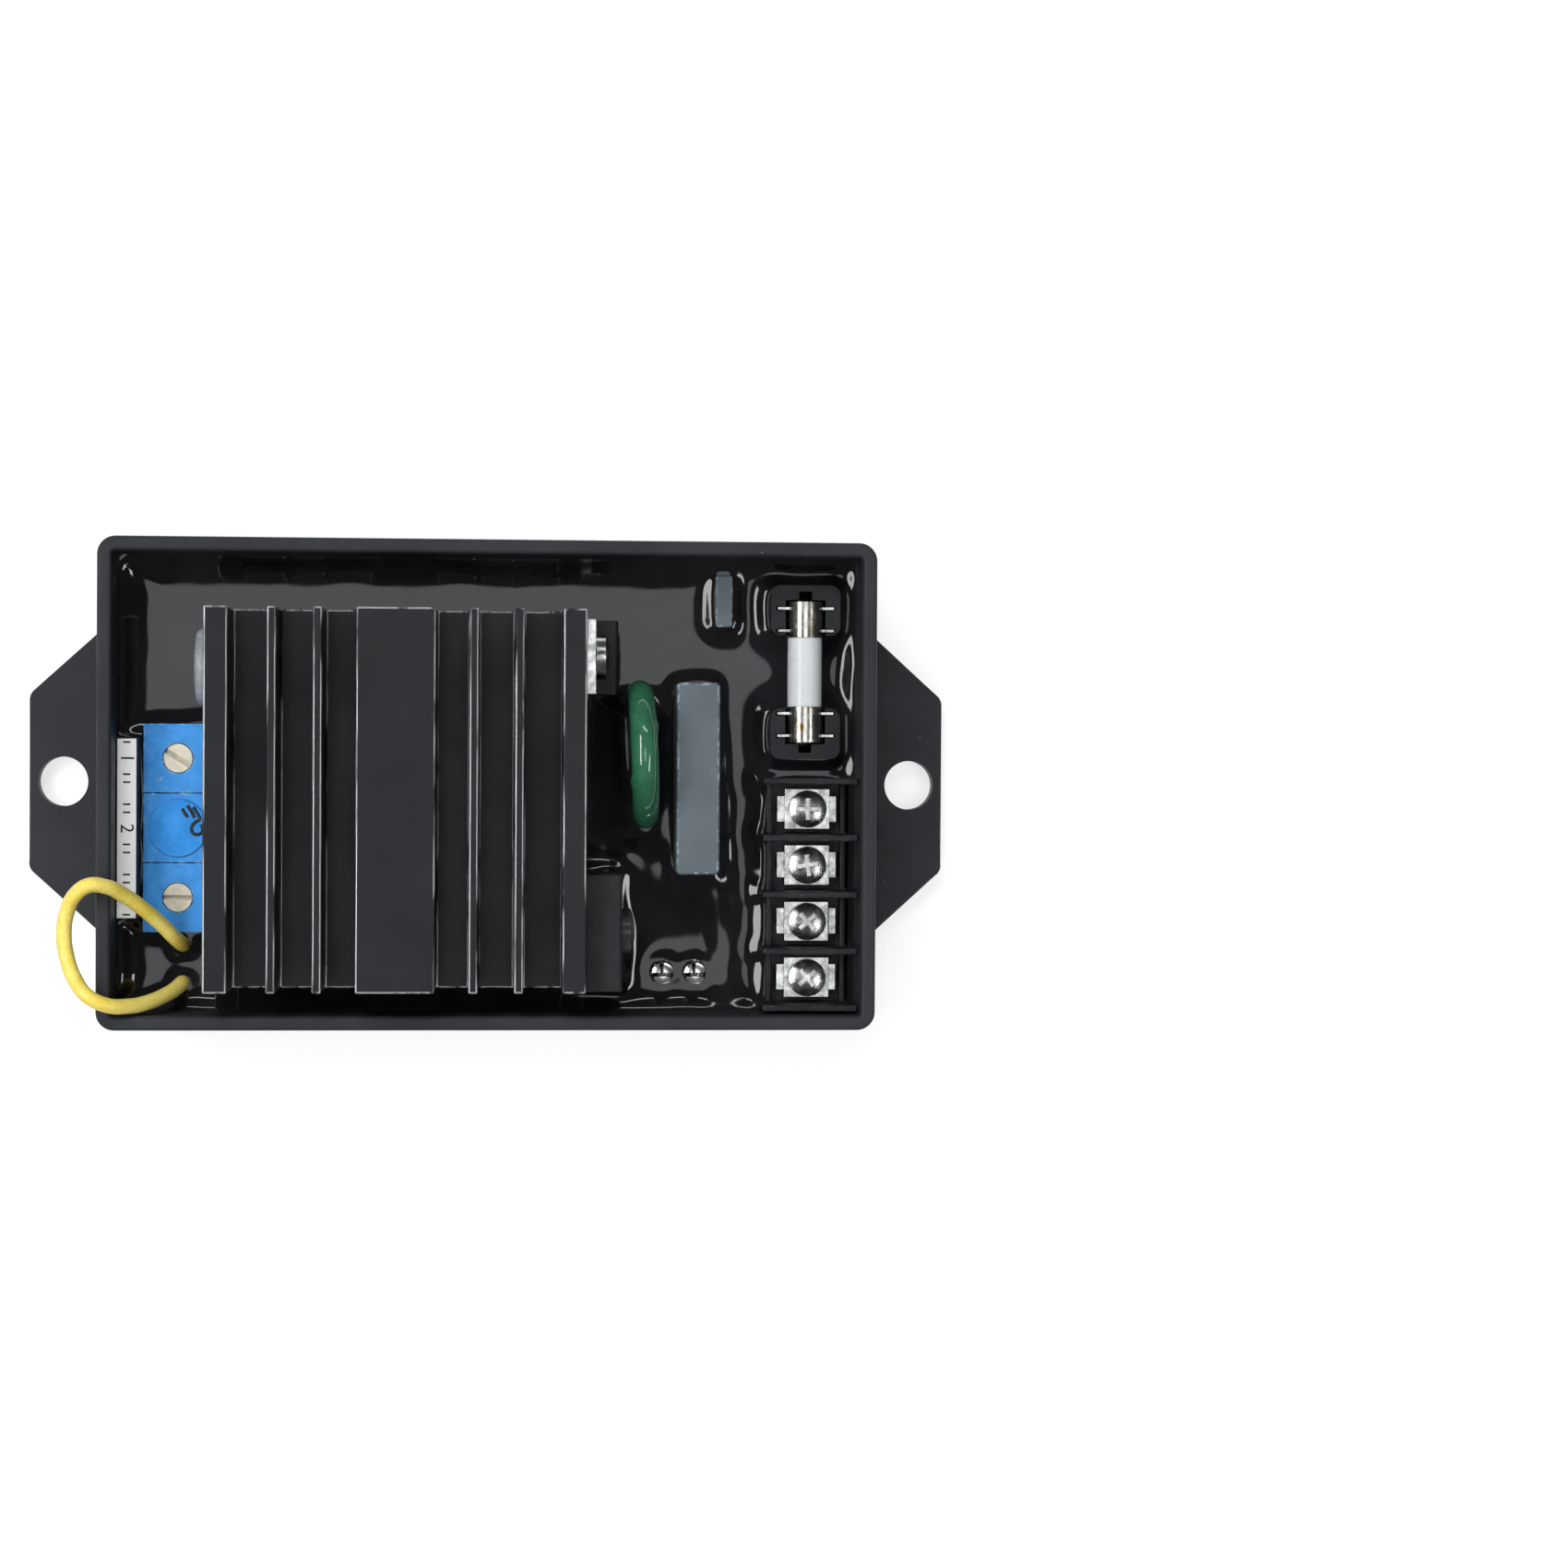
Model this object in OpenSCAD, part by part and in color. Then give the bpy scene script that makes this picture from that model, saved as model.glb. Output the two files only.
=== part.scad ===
// Potted voltage regulator for a small generator: an open tray with two mounting ears, filled with resin.
// Origin at the centre of the mounting face, +X along the ears, +Z out of the open tray. Millimetres.

/* [Housing] */
// Length of the tray without its ears
body_l = 106; // [103:0.5:125]
// Width of the tray
body_w = 67; // [65.5:0.5:80]
// Height of the rim above the mounting face
body_h = 25; // [22:0.5:32]
// Wall thickness of the tray
wall = 2; // [1.5:0.1:2.4]
// Thickness of the tray floor and of the ears
floor_t = 3; // [2:0.1:4]
// Outside radius of the tray's upright corners
corner_r = 2.5; // [2.5:0.1:5]
// Radius on the edges of the rim
rim_r = 0.6; // [0.2:0.1:0.7]

/* [Mounting ears] */
// Distance between the mounting hole centres
hole_pitch = 120; // [116:0.5:140]
// Mounting hole diameter
hole_d = 7; // [4:0.1:8]
// Distance from a hole centre to the tip of its ear
ear_edge = 4.7; // [4.5:0.1:10]
// Length of the straight edge at an ear's tip
ear_tip_w = 24.6; // [16:0.2:32]
// Width of an ear at the wall of the tray
ear_root_w = 46; // [34:0.5:58]
// Radius of an ear's corners
ear_r = 2; // [0.5:0.1:3]

/* [Board and resin] */
// Thickness of the circuit board
board_t = 1.6; // [1:0.1:2]
// Height of the posts under the board
post_h = 3; // [2:0.1:4]
// Diameter of the posts under the board
post_d = 5; // [3:0.1:5.5]
// Gap between the board's edge and the tray wall
board_gap = 0.5; // [0.3:0.1:1]
// Depth of the resin over the tray floor
resin_depth = 10; // [9:0.1:12]
// Length of the solder tails below the board
tail_l = 1.2; // [0.5:0.1:1.6]

/* [Heatsink] */
// Width of the heatsink across its fins
sink_w = 51; // [47:0.5:54]
// Length of the heatsink along its fins
sink_l = 51.6; // [48:0.2:54]
// Height of the heatsink above the board
sink_h = 26.4; // [24:0.2:34]
// Thickness of the two outer walls
sink_wall = 3.2; // [2.6:0.1:4]
// Thickness of a fin
fin_t = 1.25; // [1:0.05:1.6]
// Depth of the grooves between the fins
groove_depth = 11; // [8:0.5:12]
// Thickness of the web under the grooves
web_t = 3.6; // [3:0.1:4]
// Width of the solid middle rib
rib_w = 10.6; // [8:0.2:12]
// Distance of the inner fins from the middle
inner_fin = 10.4; // [9:0.1:11.5]
// Distance of the outer fins from the middle
outer_fin = 16.5; // [15:0.1:18]
// Diameter of the heatsink's solder pins
sink_pin_d = 1.6; // [1:0.1:2]
// Gap between the heatsink and the tray wall in front of it
sink_front_gap = 3.7; // [3:0.1:5]

/* [Trimmers and label] */
// Side of a trimmer's square body
trimmer_w = 9.5; // [9:0.1:10]
// Height of a trimmer's body
trimmer_h = 4.8; // [4:0.1:6]
// Height of a trimmer's body above the board
trimmer_stand = 3; // [1.5:0.1:4]
// Diameter of a trimmer's rotor where it shows
rotor_d = 4; // [3:0.1:5]
// Running clearance round a rotor, on the radius
rotor_gap = 0.1; // [0.05:0.01:0.1]
// Gap between neighbouring trimmers
trimmer_gap = 0.12; // [0.05:0.01:0.4]
// Diameter of the sealing lacquer on the middle trimmer
lacquer_d = 8; // [6:0.1:8.8]
// Width of the label strip
label_w = 3; // [2.5:0.1:3.5]
// Length of the label strip
label_l = 25; // [20:0.5:28]
// Height of the label's ledge above the tray floor
ledge_h = 15.4; // [12:0.1:18]

/* [Terminal block] */
// Distance between neighbouring terminals
terminal_pitch = 7.85; // [7.6:0.05:8.1]
// Length of a barrier across the block
barrier_l = 13.1; // [12.6:0.1:13.6]
// Thickness of a barrier
barrier_t = 0.9; // [0.8:0.1:1.2]
// Height of a barrier above the board
barrier_h = 14.4; // [13:0.1:16]
// Width of the block's body below the barriers
block_w = 11.1; // [10.8:0.1:11.6]
// Height of the plates' seat above the board
seat_h = 6.4; // [6:0.1:8]
// Height of the side rails above the plates' seat
rail_h = 1.4; // [0.8:0.1:2]
// Thickness of the side rails
rail_t = 0.8; // [0.6:0.1:1]
// Diameter of the terminal screws' thread
screw_d = 3; // [2.5:0.1:3.2]
// Diameter of a terminal screw's head
screw_head_d = 5.2; // [4.8:0.1:5.5]
// Height of a terminal screw's head
screw_head_h = 2; // [1.6:0.1:2.4]
// Length of a terminal screw below its head
screw_l = 5.4; // [4.5:0.1:5.8]
// Thickness of a terminal plate
plate_t = 1; // [0.8:0.1:1.2]
// Length of a terminal plate
plate_l = 8.3; // [7.5:0.1:8.8]
// Width of a terminal plate
plate_w = 3.6; // [3.6:0.1:4.5]
// Length of a clamp washer's side across the block
clamp_l = 6.3; // [5.6:0.1:7]
// Length of a clamp washer's side along the block
clamp_w = 5.6; // [5:0.1:6]
// Thickness of a clamp washer
clamp_t = 0.8; // [0.5:0.1:1]
// Running clearance of a screw in its plate and washer, on the radius
screw_gap = 0.08; // [0.05:0.01:0.1]

/* [Fuse and holder] */
// Diameter of the fuse's end caps
fuse_d = 5.2; // [5:0.1:5.4]
// Length of the fuse
fuse_l = 19.6; // [19:0.1:20]
// Length of an end cap
cap_l = 5; // [4.5:0.1:5.5]
// Wall thickness of an end cap
cap_t = 0.2; // [0.15:0.05:0.3]
// Wall thickness of the ceramic tube
tube_t = 0.8; // [0.5:0.1:1.2]
// Height of the fuse's axis above the board
fuse_h = 8.6; // [8.2:0.1:10]
// Width of the holder
holder_w = 9.7; // [9.4:0.1:10.2]
// Length of the holder
holder_l = 24.2; // [23.8:0.1:24.6]
// Length of each end tower of the holder
tower_l = 7; // [6.4:0.1:7.4]
// Height of the end towers above the board
tower_h = 10; // [9.4:0.1:10.6]
// Sheet thickness of the clips
clip_t = 0.35; // [0.25:0.05:0.5]
// Width of a clip's fork plates
clip_w = 7.8; // [7.2:0.1:8.4]
// Distance between the two fork plates of a clip
clip_span = 3.1; // [2.8:0.1:3.4]

/* [Power semiconductors] */
// Width of the large package
large_w = 15.8; // [15:0.1:16.2]
// Height of the large package
large_h = 20.8; // [20:0.1:21.4]
// Thickness of the large package
large_t = 5; // [4.6:0.1:5.2]
// Height of the large package above the board
large_stand = 2; // [1.2:0.1:2.4]
// Width of the small package and of its tab
small_w = 10.2; // [9.8:0.1:10.6]
// Height of the small package with its tab
small_h = 15.4; // [14.8:0.1:16]
// Height of the small package's moulded body
small_body_h = 9; // [8.6:0.1:9.4]
// Thickness of the small package
small_t = 4.5; // [4.2:0.1:4.8]
// Thickness of the small package's tab
tab_t = 1.3; // [1.1:0.1:1.4]
// Height of the small package above the board
small_stand = 6.8; // [6:0.1:7.6]
// Head diameter of the screws that hold the packages
fix_head_d = 6.2; // [5.5:0.1:6.6]
// Head height of the screws that hold the packages
fix_head_h = 1.9; // [1.6:0.1:2.4]
// Thread diameter of the screws that hold the packages
fix_d = 3; // [2.5:0.1:3.2]

/* [Varistor and capacitors] */
// Diameter of the varistor disc
varistor_d = 20.5; // [18:0.1:21.5]
// Thickness of the varistor disc
varistor_t = 4; // [3.4:0.1:4.4]
// Turn of the varistor about the upright axis, in degrees
varistor_turn = 2.7; // [-4:0.1:4]
// Length of the large film capacitor
film_l = 26.5; // [25:0.1:28]
// Thickness of the large film capacitor
film_w = 6; // [5:0.1:6.5]
// Height of the large film capacitor
film_h = 15; // [12:0.1:16]
// Length of the small film capacitor
small_film_l = 7.2; // [6.8:0.1:7.6]
// Thickness of the small film capacitor
small_film_w = 2.4; // [2:0.1:2.8]
// Height of the small film capacitor
small_film_h = 7.6; // [6.5:0.1:9]
// Diameter of the disc capacitor
disc_d = 10.9; // [9.5:0.1:11.4]
// Thickness of the disc capacitor
disc_t = 2; // [1.6:0.1:2.2]

/* [Indicator lamps] */
// Diameter of a lamp's lens
lamp_d = 3; // [2.8:0.1:3.2]
// Diameter of a lamp's flange
flange_d = 3.8; // [3.6:0.1:4.1]
// Distance between the two lamps
lamp_pitch = 4.5; // [4.4:0.1:5]
// Height of a lamp's flange above the board
lamp_stand = 4.8; // [4:0.1:5.4]

/* [Hidden] */
$fn = 48;

// Length by which a cutting shape runs past the face that it cuts
over = 1;
// Steps in a round corner of an outline
arc_steps = 8;

// Inside faces of the tray and the main levels
in_l = body_l - 2 * wall;
in_w = body_w - 2 * wall;
in_right = in_l / 2;
in_left = -in_right;
in_back = in_w / 2;
in_front = -in_back;
board_z = floor_t + post_h;
top_z = board_z + board_t;
tail_z = board_z - tail_l;
resin_z = floor_t + resin_depth;
ledge_z = floor_t + ledge_h;
board_corner_r = 1;

// Posts under the board, one near each corner
post_inset = 3;
post_x = in_right - post_inset;
post_y = in_back - post_inset;

// Places along X, counted from the label's ledge on the left
label_gap = 0.4;
label_t = 0.4;
label_border = 0.2;
trimmer_sink_gap = 0.1;
trimmer_x = in_left + label_w + label_gap + trimmer_w / 2;
sink_left = trimmer_x + trimmer_w / 2 + trimmer_sink_gap;
sink_right = sink_left + sink_w;
sink_x = sink_left + sink_w / 2;
sink_front = in_front + sink_front_gap;
sink_back = sink_front + sink_l;
sink_y = sink_front + sink_l / 2;
sink_top = top_z + sink_h;
web_z = sink_top - groove_depth - web_t;
sink_pin_l = 5;
sink_pin_inset = 4;

// Trimmers, counted from the tray's front wall
trimmer_front_gap = 10.9;
trimmer_pitch = trimmer_w + trimmer_gap;
trimmer_y = in_front + trimmer_front_gap + trimmer_w / 2 + trimmer_pitch;
trimmer_z = top_z + trimmer_stand;
rotor_lip = 1.3;
rotor_flange_d = rotor_d + 2 * rotor_lip;
rotor_flange_t = 1.6;
rotor_cover = 0.9;
rotor_play = 0.05;
rotor_slot_w = 0.6;
rotor_slot_depth = 0.7;
// Slot angle of each rotor from +X
rotor_angle = [-32, 0, 0];
mark_d = 0.9;
mark_depth = 0.15;
mark_inset = 2.1;
lacquer_t = 0.3;
pin_w = 0.5;
pin_offset = 2.54;
label_y = trimmer_y;

// Power semiconductors on the heatsink's right wall
large_y = sink_front + large_w / 2;
large_z = top_z + large_stand;
large_hole_drop = 6.2;
large_hole_z = large_z + large_h - large_hole_drop;
large_notch_r = 1.6;
back_plate_t = 2;
back_plate_w = 13.4;
back_plate_h = 16.6;
back_plate_edge = 3;
back_plate_margin = 1;
large_lead_pitch = 5.45;
large_lead = [0.6, 1.2];
large_lead_out = 2.6;
large_lead_x = sink_right + large_lead_out;
small_back_inset = 1.2;
small_y = sink_back - small_back_inset - small_w / 2;
small_z = top_z + small_stand;
small_hole_drop = 2.8;
small_hole_z = small_z + small_h - small_hole_drop;
small_lead_pitch = 2.54;
small_lead = [0.5, 0.8];
small_lead_wide = 1.3;
small_lead_wide_l = 3.6;
small_lead_out = 2.6;
small_lead_x = sink_right + small_lead_out;
mould_bevel = 0.4;
hole_play = 0.3;
thread_spare = 0.2;
fix_cross_angle = 20;

// Varistor, capacitors and lamps
lead_d = 0.8;
varistor_sink_gap = 6;
varistor_back_inset = 19.5;
varistor_stand = 2.4;
varistor_x = sink_right + varistor_sink_gap + varistor_t / 2;
varistor_y = sink_back - varistor_back_inset;
varistor_z = top_z + varistor_stand + varistor_d / 2;
varistor_lead_pitch = 7.5;
varistor_edge = 1.6;
lead_ridge_d = 1.4;
lead_ridge_l = 7;
film_varistor_gap = 2.6;
film_back_inset = 22.8;
film_x = varistor_x + varistor_t / 2 + film_varistor_gap + film_w / 2;
film_y = sink_back - film_back_inset;
film_lead_pitch = 22.5;
box_edge_r = 0.7;
small_film_lead_pitch = 5;
small_edge_r = 0.4;
small_film_back_gap = 2.2;
small_film_y = in_back - small_film_back_gap - small_film_l / 2;
disc_sink_gap = 0.5;
disc_trimmer_gap = 2.4;
disc_stand = 0.6;
disc_x = sink_left - disc_sink_gap - disc_t / 2;
disc_y = trimmer_y + trimmer_pitch + trimmer_w / 2 + disc_trimmer_gap + disc_d / 2;
disc_z = top_z + disc_stand + disc_d / 2;
disc_lead_pitch = 5;
disc_lead_d = 0.6;
disc_edge = 0.8;
lamp_sink_gap = 13.4;
lamp_front_gap = 5.3;
lamp_x = sink_right + lamp_sink_gap;
lamp_y = in_front + lamp_front_gap;
lamp_z = top_z + lamp_stand;
flange_t = 1;
lamp_straight = 2.8;
lamp_lead_w = 0.5;
lamp_lead_pitch = 1.27;
lamp_post_h = 2.2;

// Terminal block, against the tray's right wall and near its front wall
block_wall_gap = 0.2;
block_front_gap = 0.35;
block_body_shift = 0.1;
terminals = 4;
block_x = in_right - block_wall_gap - barrier_l / 2;
block_body_x = block_x - block_body_shift;
block_l = terminals * terminal_pitch + barrier_t;
block_y = in_front + block_front_gap + block_l / 2;
seat_z = top_z + seat_h;
plate_z = seat_z + plate_t;
clamp_z = plate_z + clamp_t;
well_play = 0.4;
well_spare = 0.6;
screw_well_d = screw_d + 2 * well_play;
screw_well_z = clamp_z - screw_l - well_spare;
plate_tail = [0.8, 1.2];
plate_tail_x = block_x - plate_l / 2 + plate_tail[0] / 2;
cross_w = 0.65;
cross_l = 3;
cross_depth = 0.9;
dome_h = 0.6;
// Turn of each screw's cross recess, in degrees
cross_angle = [0, 8, 42, 40];
function terminal_y(i) = block_y + ((terminals + 1) / 2 - i) * terminal_pitch;

// Fuse and its holder, behind the terminal block
holder_wall_gap = 2.4;
holder_block_gap = 2.6;
fuse_x = in_right - holder_wall_gap - holder_w / 2;
holder_y = block_y + block_l / 2 + holder_block_gap + holder_l / 2;
fuse_z = top_z + fuse_h;
holder_edge_r = 1.4;
holder_base_h = 3.4;
slot_play = 0.2;
slot_floor_h = fuse_h - fuse_d / 2 - clip_t;
clip_seat_z = top_z + slot_floor_h;
fork_proud = 0.3;
clip_top_z = top_z + tower_h + fork_proud;
fork_grip = 0.85;
fork_mouth = fork_grip * fuse_d;
clip_base_inset = 0.5;
tower_y = fuse_l / 2 - cap_l / 2;
notch_w = 1.8;
tube_d = fuse_d - 2 * cap_t;
element_d = 0.3;
clip_tail_w = 1;

// Small film capacitor, beside the fuse holder
small_film_holder_gap = 5.2;
small_film_x = fuse_x - holder_w / 2 - small_film_holder_gap - small_film_w / 2;

// Small parts on the board, under the heatsink, placed from the heatsink's middle
ic_l = 9.8;
ic_w = 6.4;
ic_h = 3.3;
ic_stand = 0.5;
ic_offset = [-9, 8];
ic_x = sink_x + ic_offset[0];
ic_y = sink_y + ic_offset[1];
ic_pin_pitch = 2.54;
ic_pin_row = 7.62;
ic_pin_w = 0.5;
ic_pin_t = 0.3;
ic_pin_root = 1;
ic_side_pins = 4;
axial_stand = 0.3;
axial_lead = 0.6;
resistor_d = 2.4;
resistor_l = 6.3;
resistor_span = 10;
resistor_count = 6;
resistor_pitch = 4;
resistor_offset = [-9, -19];
resistor_x = sink_x + resistor_offset[0];
resistor_y = sink_y + resistor_offset[1];
diode_d = 2.7;
diode_l = 5.2;
diode_span = 10;
diode_count = 4;
diode_pitch = 5;
diode_offset = [10, -14];
diode_x = sink_x + diode_offset[0];
diode_y = sink_y + diode_offset[1];

// Jumper wire: round insulated wire from the resin, over the rim and back, with its route points
wire_d = 2.1;
wire_sides = 8;
wire_route = [
    [-42.2, -22.4, 13.0], [-42.3, -22.2, 15.2], [-43.0, -21.3, 17.4], [-44.6, -19.4, 19.4],
    [-46.8, -17.2, 21.6], [-49.2, -15.2, 24.2], [-51.4, -13.9, 26.6], [-53.6, -13.7, 27.9],
    [-55.4, -15.0, 27.6], [-56.6, -17.3, 26.4], [-57.1, -20.2, 25.6], [-56.7, -23.4, 25.7],
    [-55.5, -26.4, 26.6], [-53.6, -28.6, 27.9], [-51.2, -29.8, 27.5], [-48.6, -30.1, 25.4],
    [-46.2, -29.8, 22.6], [-44.3, -29.1, 19.6], [-42.9, -28.3, 16.6], [-42.4, -27.8, 14.6],
    [-42.3, -27.7, 13.0]
];

// Flat shape of a rectangle with round corners
module rounded_rect(l, w, r) {
    square([l - 2 * r, w], center = true);
    square([l, w - 2 * r], center = true);
    for (x = [-1, 1], y = [-1, 1])
        translate([x * (l / 2 - r), y * (w / 2 - r)]) circle(r);
}

// Upright block with round upright edges, standing on z = 0
module rounded_block(l, w, h, r) {
    linear_extrude(h) rounded_rect(l, w, r);
}

// Block on z = 0, centred in X and Y
module block(l, w, h) {
    translate([-l / 2, -w / 2, 0]) cube([l, w, h]);
}

function unit(v) = v / norm(v);

// Points of a round corner at point b between a and c: an arc that meets both sides smoothly
function corner_arc(a, b, c, r) =
    let (
        before = unit(a - b),
        after = unit(c - b),
        half = acos(before * after) / 2,
        centre = b + unit(before + after) * r / sin(half),
        middle = unit(b - centre),
        angle = atan2(middle[1], middle[0]),
        sweep = 90 - half
    )
    [for (k = [-1 : 2 / arc_steps : 1]) centre + r * [cos(angle + k * sweep), sin(angle + k * sweep)]];

// Convex flat shape, counter-clockwise, with one corner radius for each point
module rounded_polygon(points, radii) {
    n = len(points);
    polygon([
        for (i = [0 : n - 1]) each radii[i] == 0
            ? [points[i]]
            : corner_arc(points[(i + n - 1) % n], points[i], points[(i + 1) % n], radii[i])
    ]);
}

// Sweeps a flat profile round a rectangle with round corners. The profile's x runs outwards from the
// middle of the corner, and its y runs up.
module around_rect(l, w, r) {
    for (i = [0 : 3]) {
        corner = [(l / 2 - r) * [1, -1, -1, 1][i], (w / 2 - r) * [1, 1, -1, -1][i], 0];
        run = i % 2 == 0 ? l - 2 * r : w - 2 * r;
        translate(corner) rotate(90 * i) rotate_extrude(angle = 90) children();
        translate(corner) rotate(90 * (i + 1))
            translate([0, run, 0]) rotate([90, 0, 0]) linear_extrude(run) children();
    }
}

// Cylinder along X from x = 0
module rod_x(d, l) {
    rotate([0, 90, 0]) cylinder(d = d, h = l);
}

// Cylinder along Y, centred on y = 0
module rod_y(d, l) {
    rotate([90, 0, 0]) cylinder(d = d, h = l, center = true);
}

// Disc on edge with round rims, its axis along X, centred on the origin
module edge_disc(d, t, edge_r) {
    rotate([0, 90, 0]) rotate_extrude() {
        translate([0, -t / 2]) square([d / 2 - edge_r, t]);
        translate([0, edge_r - t / 2]) square([d / 2, t - 2 * edge_r]);
        for (y = [-1, 1]) translate([d / 2 - edge_r, y * (t / 2 - edge_r)]) circle(edge_r);
    }
}

// Domed screw head on z = 0 with a cross recess, and its shank below
module cross_screw(head_d, head_h, shank_d, shank_l, angle) {
    dome_r = (head_d * head_d / 4 + dome_h * dome_h) / (2 * dome_h);
    difference() {
        intersection() {
            cylinder(d = head_d, h = head_h);
            translate([0, 0, head_h - dome_r]) sphere(dome_r, $fn = 96);
        }
        for (a = [0, 90]) rotate(angle + a)
            translate([0, 0, head_h - cross_depth]) block(cross_l, cross_w, cross_depth + over);
    }
    translate([0, 0, -shank_l]) cylinder(d = shank_d, h = shank_l);
}

// Pair of round leads from height z down through the board, spaced along Y
module lead_pair(pitch, d, z) {
    for (y = [-pitch / 2, pitch / 2])
        translate([0, y, tail_z]) cylinder(d = d, h = z - tail_z);
}

// Flat shape of one mounting ear, from the middle of the tray's right wall to the tip
module ear_shape() {
    root_x = body_l / 2 - wall / 2;
    tip_x = hole_pitch / 2 + ear_edge;
    slope = (ear_root_w - ear_tip_w) / 2 / (tip_x - body_l / 2);
    root_y = ear_root_w / 2 + slope * wall / 2;
    rounded_polygon(
        [[root_x, -root_y], [tip_x, -ear_tip_w / 2], [tip_x, ear_tip_w / 2], [root_x, root_y]],
        [0, ear_r, ear_r, 0]
    );
}

// Ledge along the left wall that carries the label
module label_ledge(grow, z0, z1) {
    translate([in_left - wall / 2, label_y - label_l / 2 - grow, z0])
        cube([wall / 2 + label_w + grow, label_l + 2 * grow, z1 - z0]);
}

module board_posts() {
    for (x = [-post_x, post_x], y = [-post_y, post_y])
        translate([x, y, floor_t]) cylinder(d = post_d, h = post_h);
}

module housing() {
    color("#2c2e31") {
        around_rect(body_l, body_w, corner_r) {
            translate([corner_r - wall, 0]) square([wall, body_h - rim_r]);
            translate([corner_r - wall + rim_r, 0]) square([wall - 2 * rim_r, body_h]);
            for (x = [corner_r - wall + rim_r, corner_r - rim_r])
                translate([x, body_h - rim_r]) circle(rim_r);
        }
        linear_extrude(floor_t) rounded_rect(body_l - wall, body_w - wall, corner_r - wall / 2);
        for (side = [0, 180]) rotate(side) difference() {
            linear_extrude(floor_t) ear_shape();
            translate([hole_pitch / 2, 0, -over]) cylinder(d = hole_d, h = floor_t + 2 * over, $fn = 96);
        }
        board_posts();
        label_ledge(0, floor_t, ledge_z);
    }
}

module circuit_board() {
    color("#1f4a2c") difference() {
        translate([0, 0, board_z])
            rounded_block(in_l - 2 * board_gap, in_w - 2 * board_gap, board_t, board_corner_r);
        label_ledge(board_gap, board_z - over, top_z + over);
        leads();
    }
}

// Every lead that passes through the board
module leads() {
    heatsink_pins();
    power_transistor_frame();
    thyristor_frame();
    varistor_leads();
    film_capacitor_leads();
    small_capacitor_leads();
    disc_capacitor_leads();
    fuse_clips();
    terminal_plates();
    led_leads();
    trimmer_pins();
    control_ic_pins();
    resistor_leads();
    diode_leads();
}

// Every piece that stands in the resin above the board
module immersed() {
    heatsink();
    power_transistor_body();
    thyristor_body();
    varistor();
    film_capacitor();
    small_capacitor();
    disc_capacitor();
    fuse_holder();
    terminal_block();
    terminal_base();
    led_lenses();
    for (i = [1 : 3]) trimmer_envelope(i);
    control_ic();
    resistors();
    diodes();
}

module potting() {
    color("#0c0d0f") difference() {
        translate([0, 0, floor_t]) rounded_block(in_l, in_w, resin_depth, corner_r - wall);
        board_posts();
        label_ledge(0, floor_t - over, ledge_z);
        circuit_board();
        leads();
        immersed();
    }
}

// Section of the heatsink extrusion, standing on y = 0
module heatsink_section() {
    for (x = [-sink_w / 2, sink_w / 2 - sink_wall]) translate([x, 0]) square([sink_wall, sink_h]);
    translate([-sink_w / 2, web_z - top_z]) square([sink_w, web_t]);
    for (x = [-outer_fin, -inner_fin, inner_fin, outer_fin])
        translate([x - fin_t / 2, web_z - top_z]) square([fin_t, web_t + groove_depth]);
    translate([-rib_w / 2, web_z - top_z]) square([rib_w, web_t + groove_depth]);
}

module heatsink() {
    color("#26282b") difference() {
        translate([sink_x, sink_y + sink_l / 2, top_z])
            rotate([90, 0, 0]) linear_extrude(sink_l) heatsink_section();
        heatsink_pins();
        translate([sink_right - sink_wall, large_y, large_hole_z]) rod_x(fix_d, sink_wall + over);
        translate([sink_right - sink_wall, small_y, small_hole_z]) rod_x(fix_d, sink_wall + over);
    }
}

module heatsink_pins() {
    color("silver")
        for (x = [-1, 1], y = [-1, 1])
            translate([
                sink_x + x * (sink_w - sink_wall) / 2,
                sink_y + y * (sink_l / 2 - sink_pin_inset),
                tail_z
            ]) cylinder(d = sink_pin_d, h = sink_pin_l + top_z - tail_z);
}

// Screw through a package into the heatsink's wall: x is the seat of its head
module package_screw(x, y, z) {
    shank = x - sink_right + sink_wall - thread_spare;
    translate([x, y, z]) rotate([0, 90, 0]) cross_screw(fix_head_d, fix_head_h, fix_d, shank, fix_cross_angle);
}

module power_transistor_body() {
    color("#303235") difference() {
        translate([sink_right, large_y + large_w / 2, large_z]) rotate([90, 0, 0]) linear_extrude(large_w)
            polygon([
                [0, 0], [large_t - mould_bevel, 0], [large_t, mould_bevel],
                [large_t, large_h - mould_bevel], [large_t - mould_bevel, large_h], [0, large_h]
            ]);
        power_transistor_plate();
        translate([sink_right - over, large_y, large_hole_z]) rod_x(fix_d + hole_play, large_t + 2 * over);
        for (y = [-1, 1])
            translate([sink_right - over, large_y + y * large_w / 2, large_hole_z])
                rod_x(2 * large_notch_r, large_t + 2 * over);
    }
}

// Bare back plate of the large package, flush with the package's back
module power_transistor_plate() {
    plate_top = large_hole_z + back_plate_edge;
    difference() {
        translate([sink_right, large_y - back_plate_w / 2, plate_top - back_plate_h])
            cube([back_plate_t, back_plate_w, back_plate_h]);
        translate([sink_right - over, large_y, large_hole_z])
            rod_x(fix_d + hole_play, back_plate_t + 2 * over);
        for (y = [-1, 1])
            translate([sink_right - over, large_y + y * large_w / 2, large_hole_z])
                rod_x(2 * (large_notch_r + back_plate_margin), back_plate_t + 2 * over);
    }
}

module power_transistor_frame() {
    color("silver") {
        power_transistor_plate();
        for (i = [-1 : 1])
            translate([large_lead_x, large_y + i * large_lead_pitch, tail_z])
                block(large_lead[0], large_lead[1], large_z - tail_z);
    }
}

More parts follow.
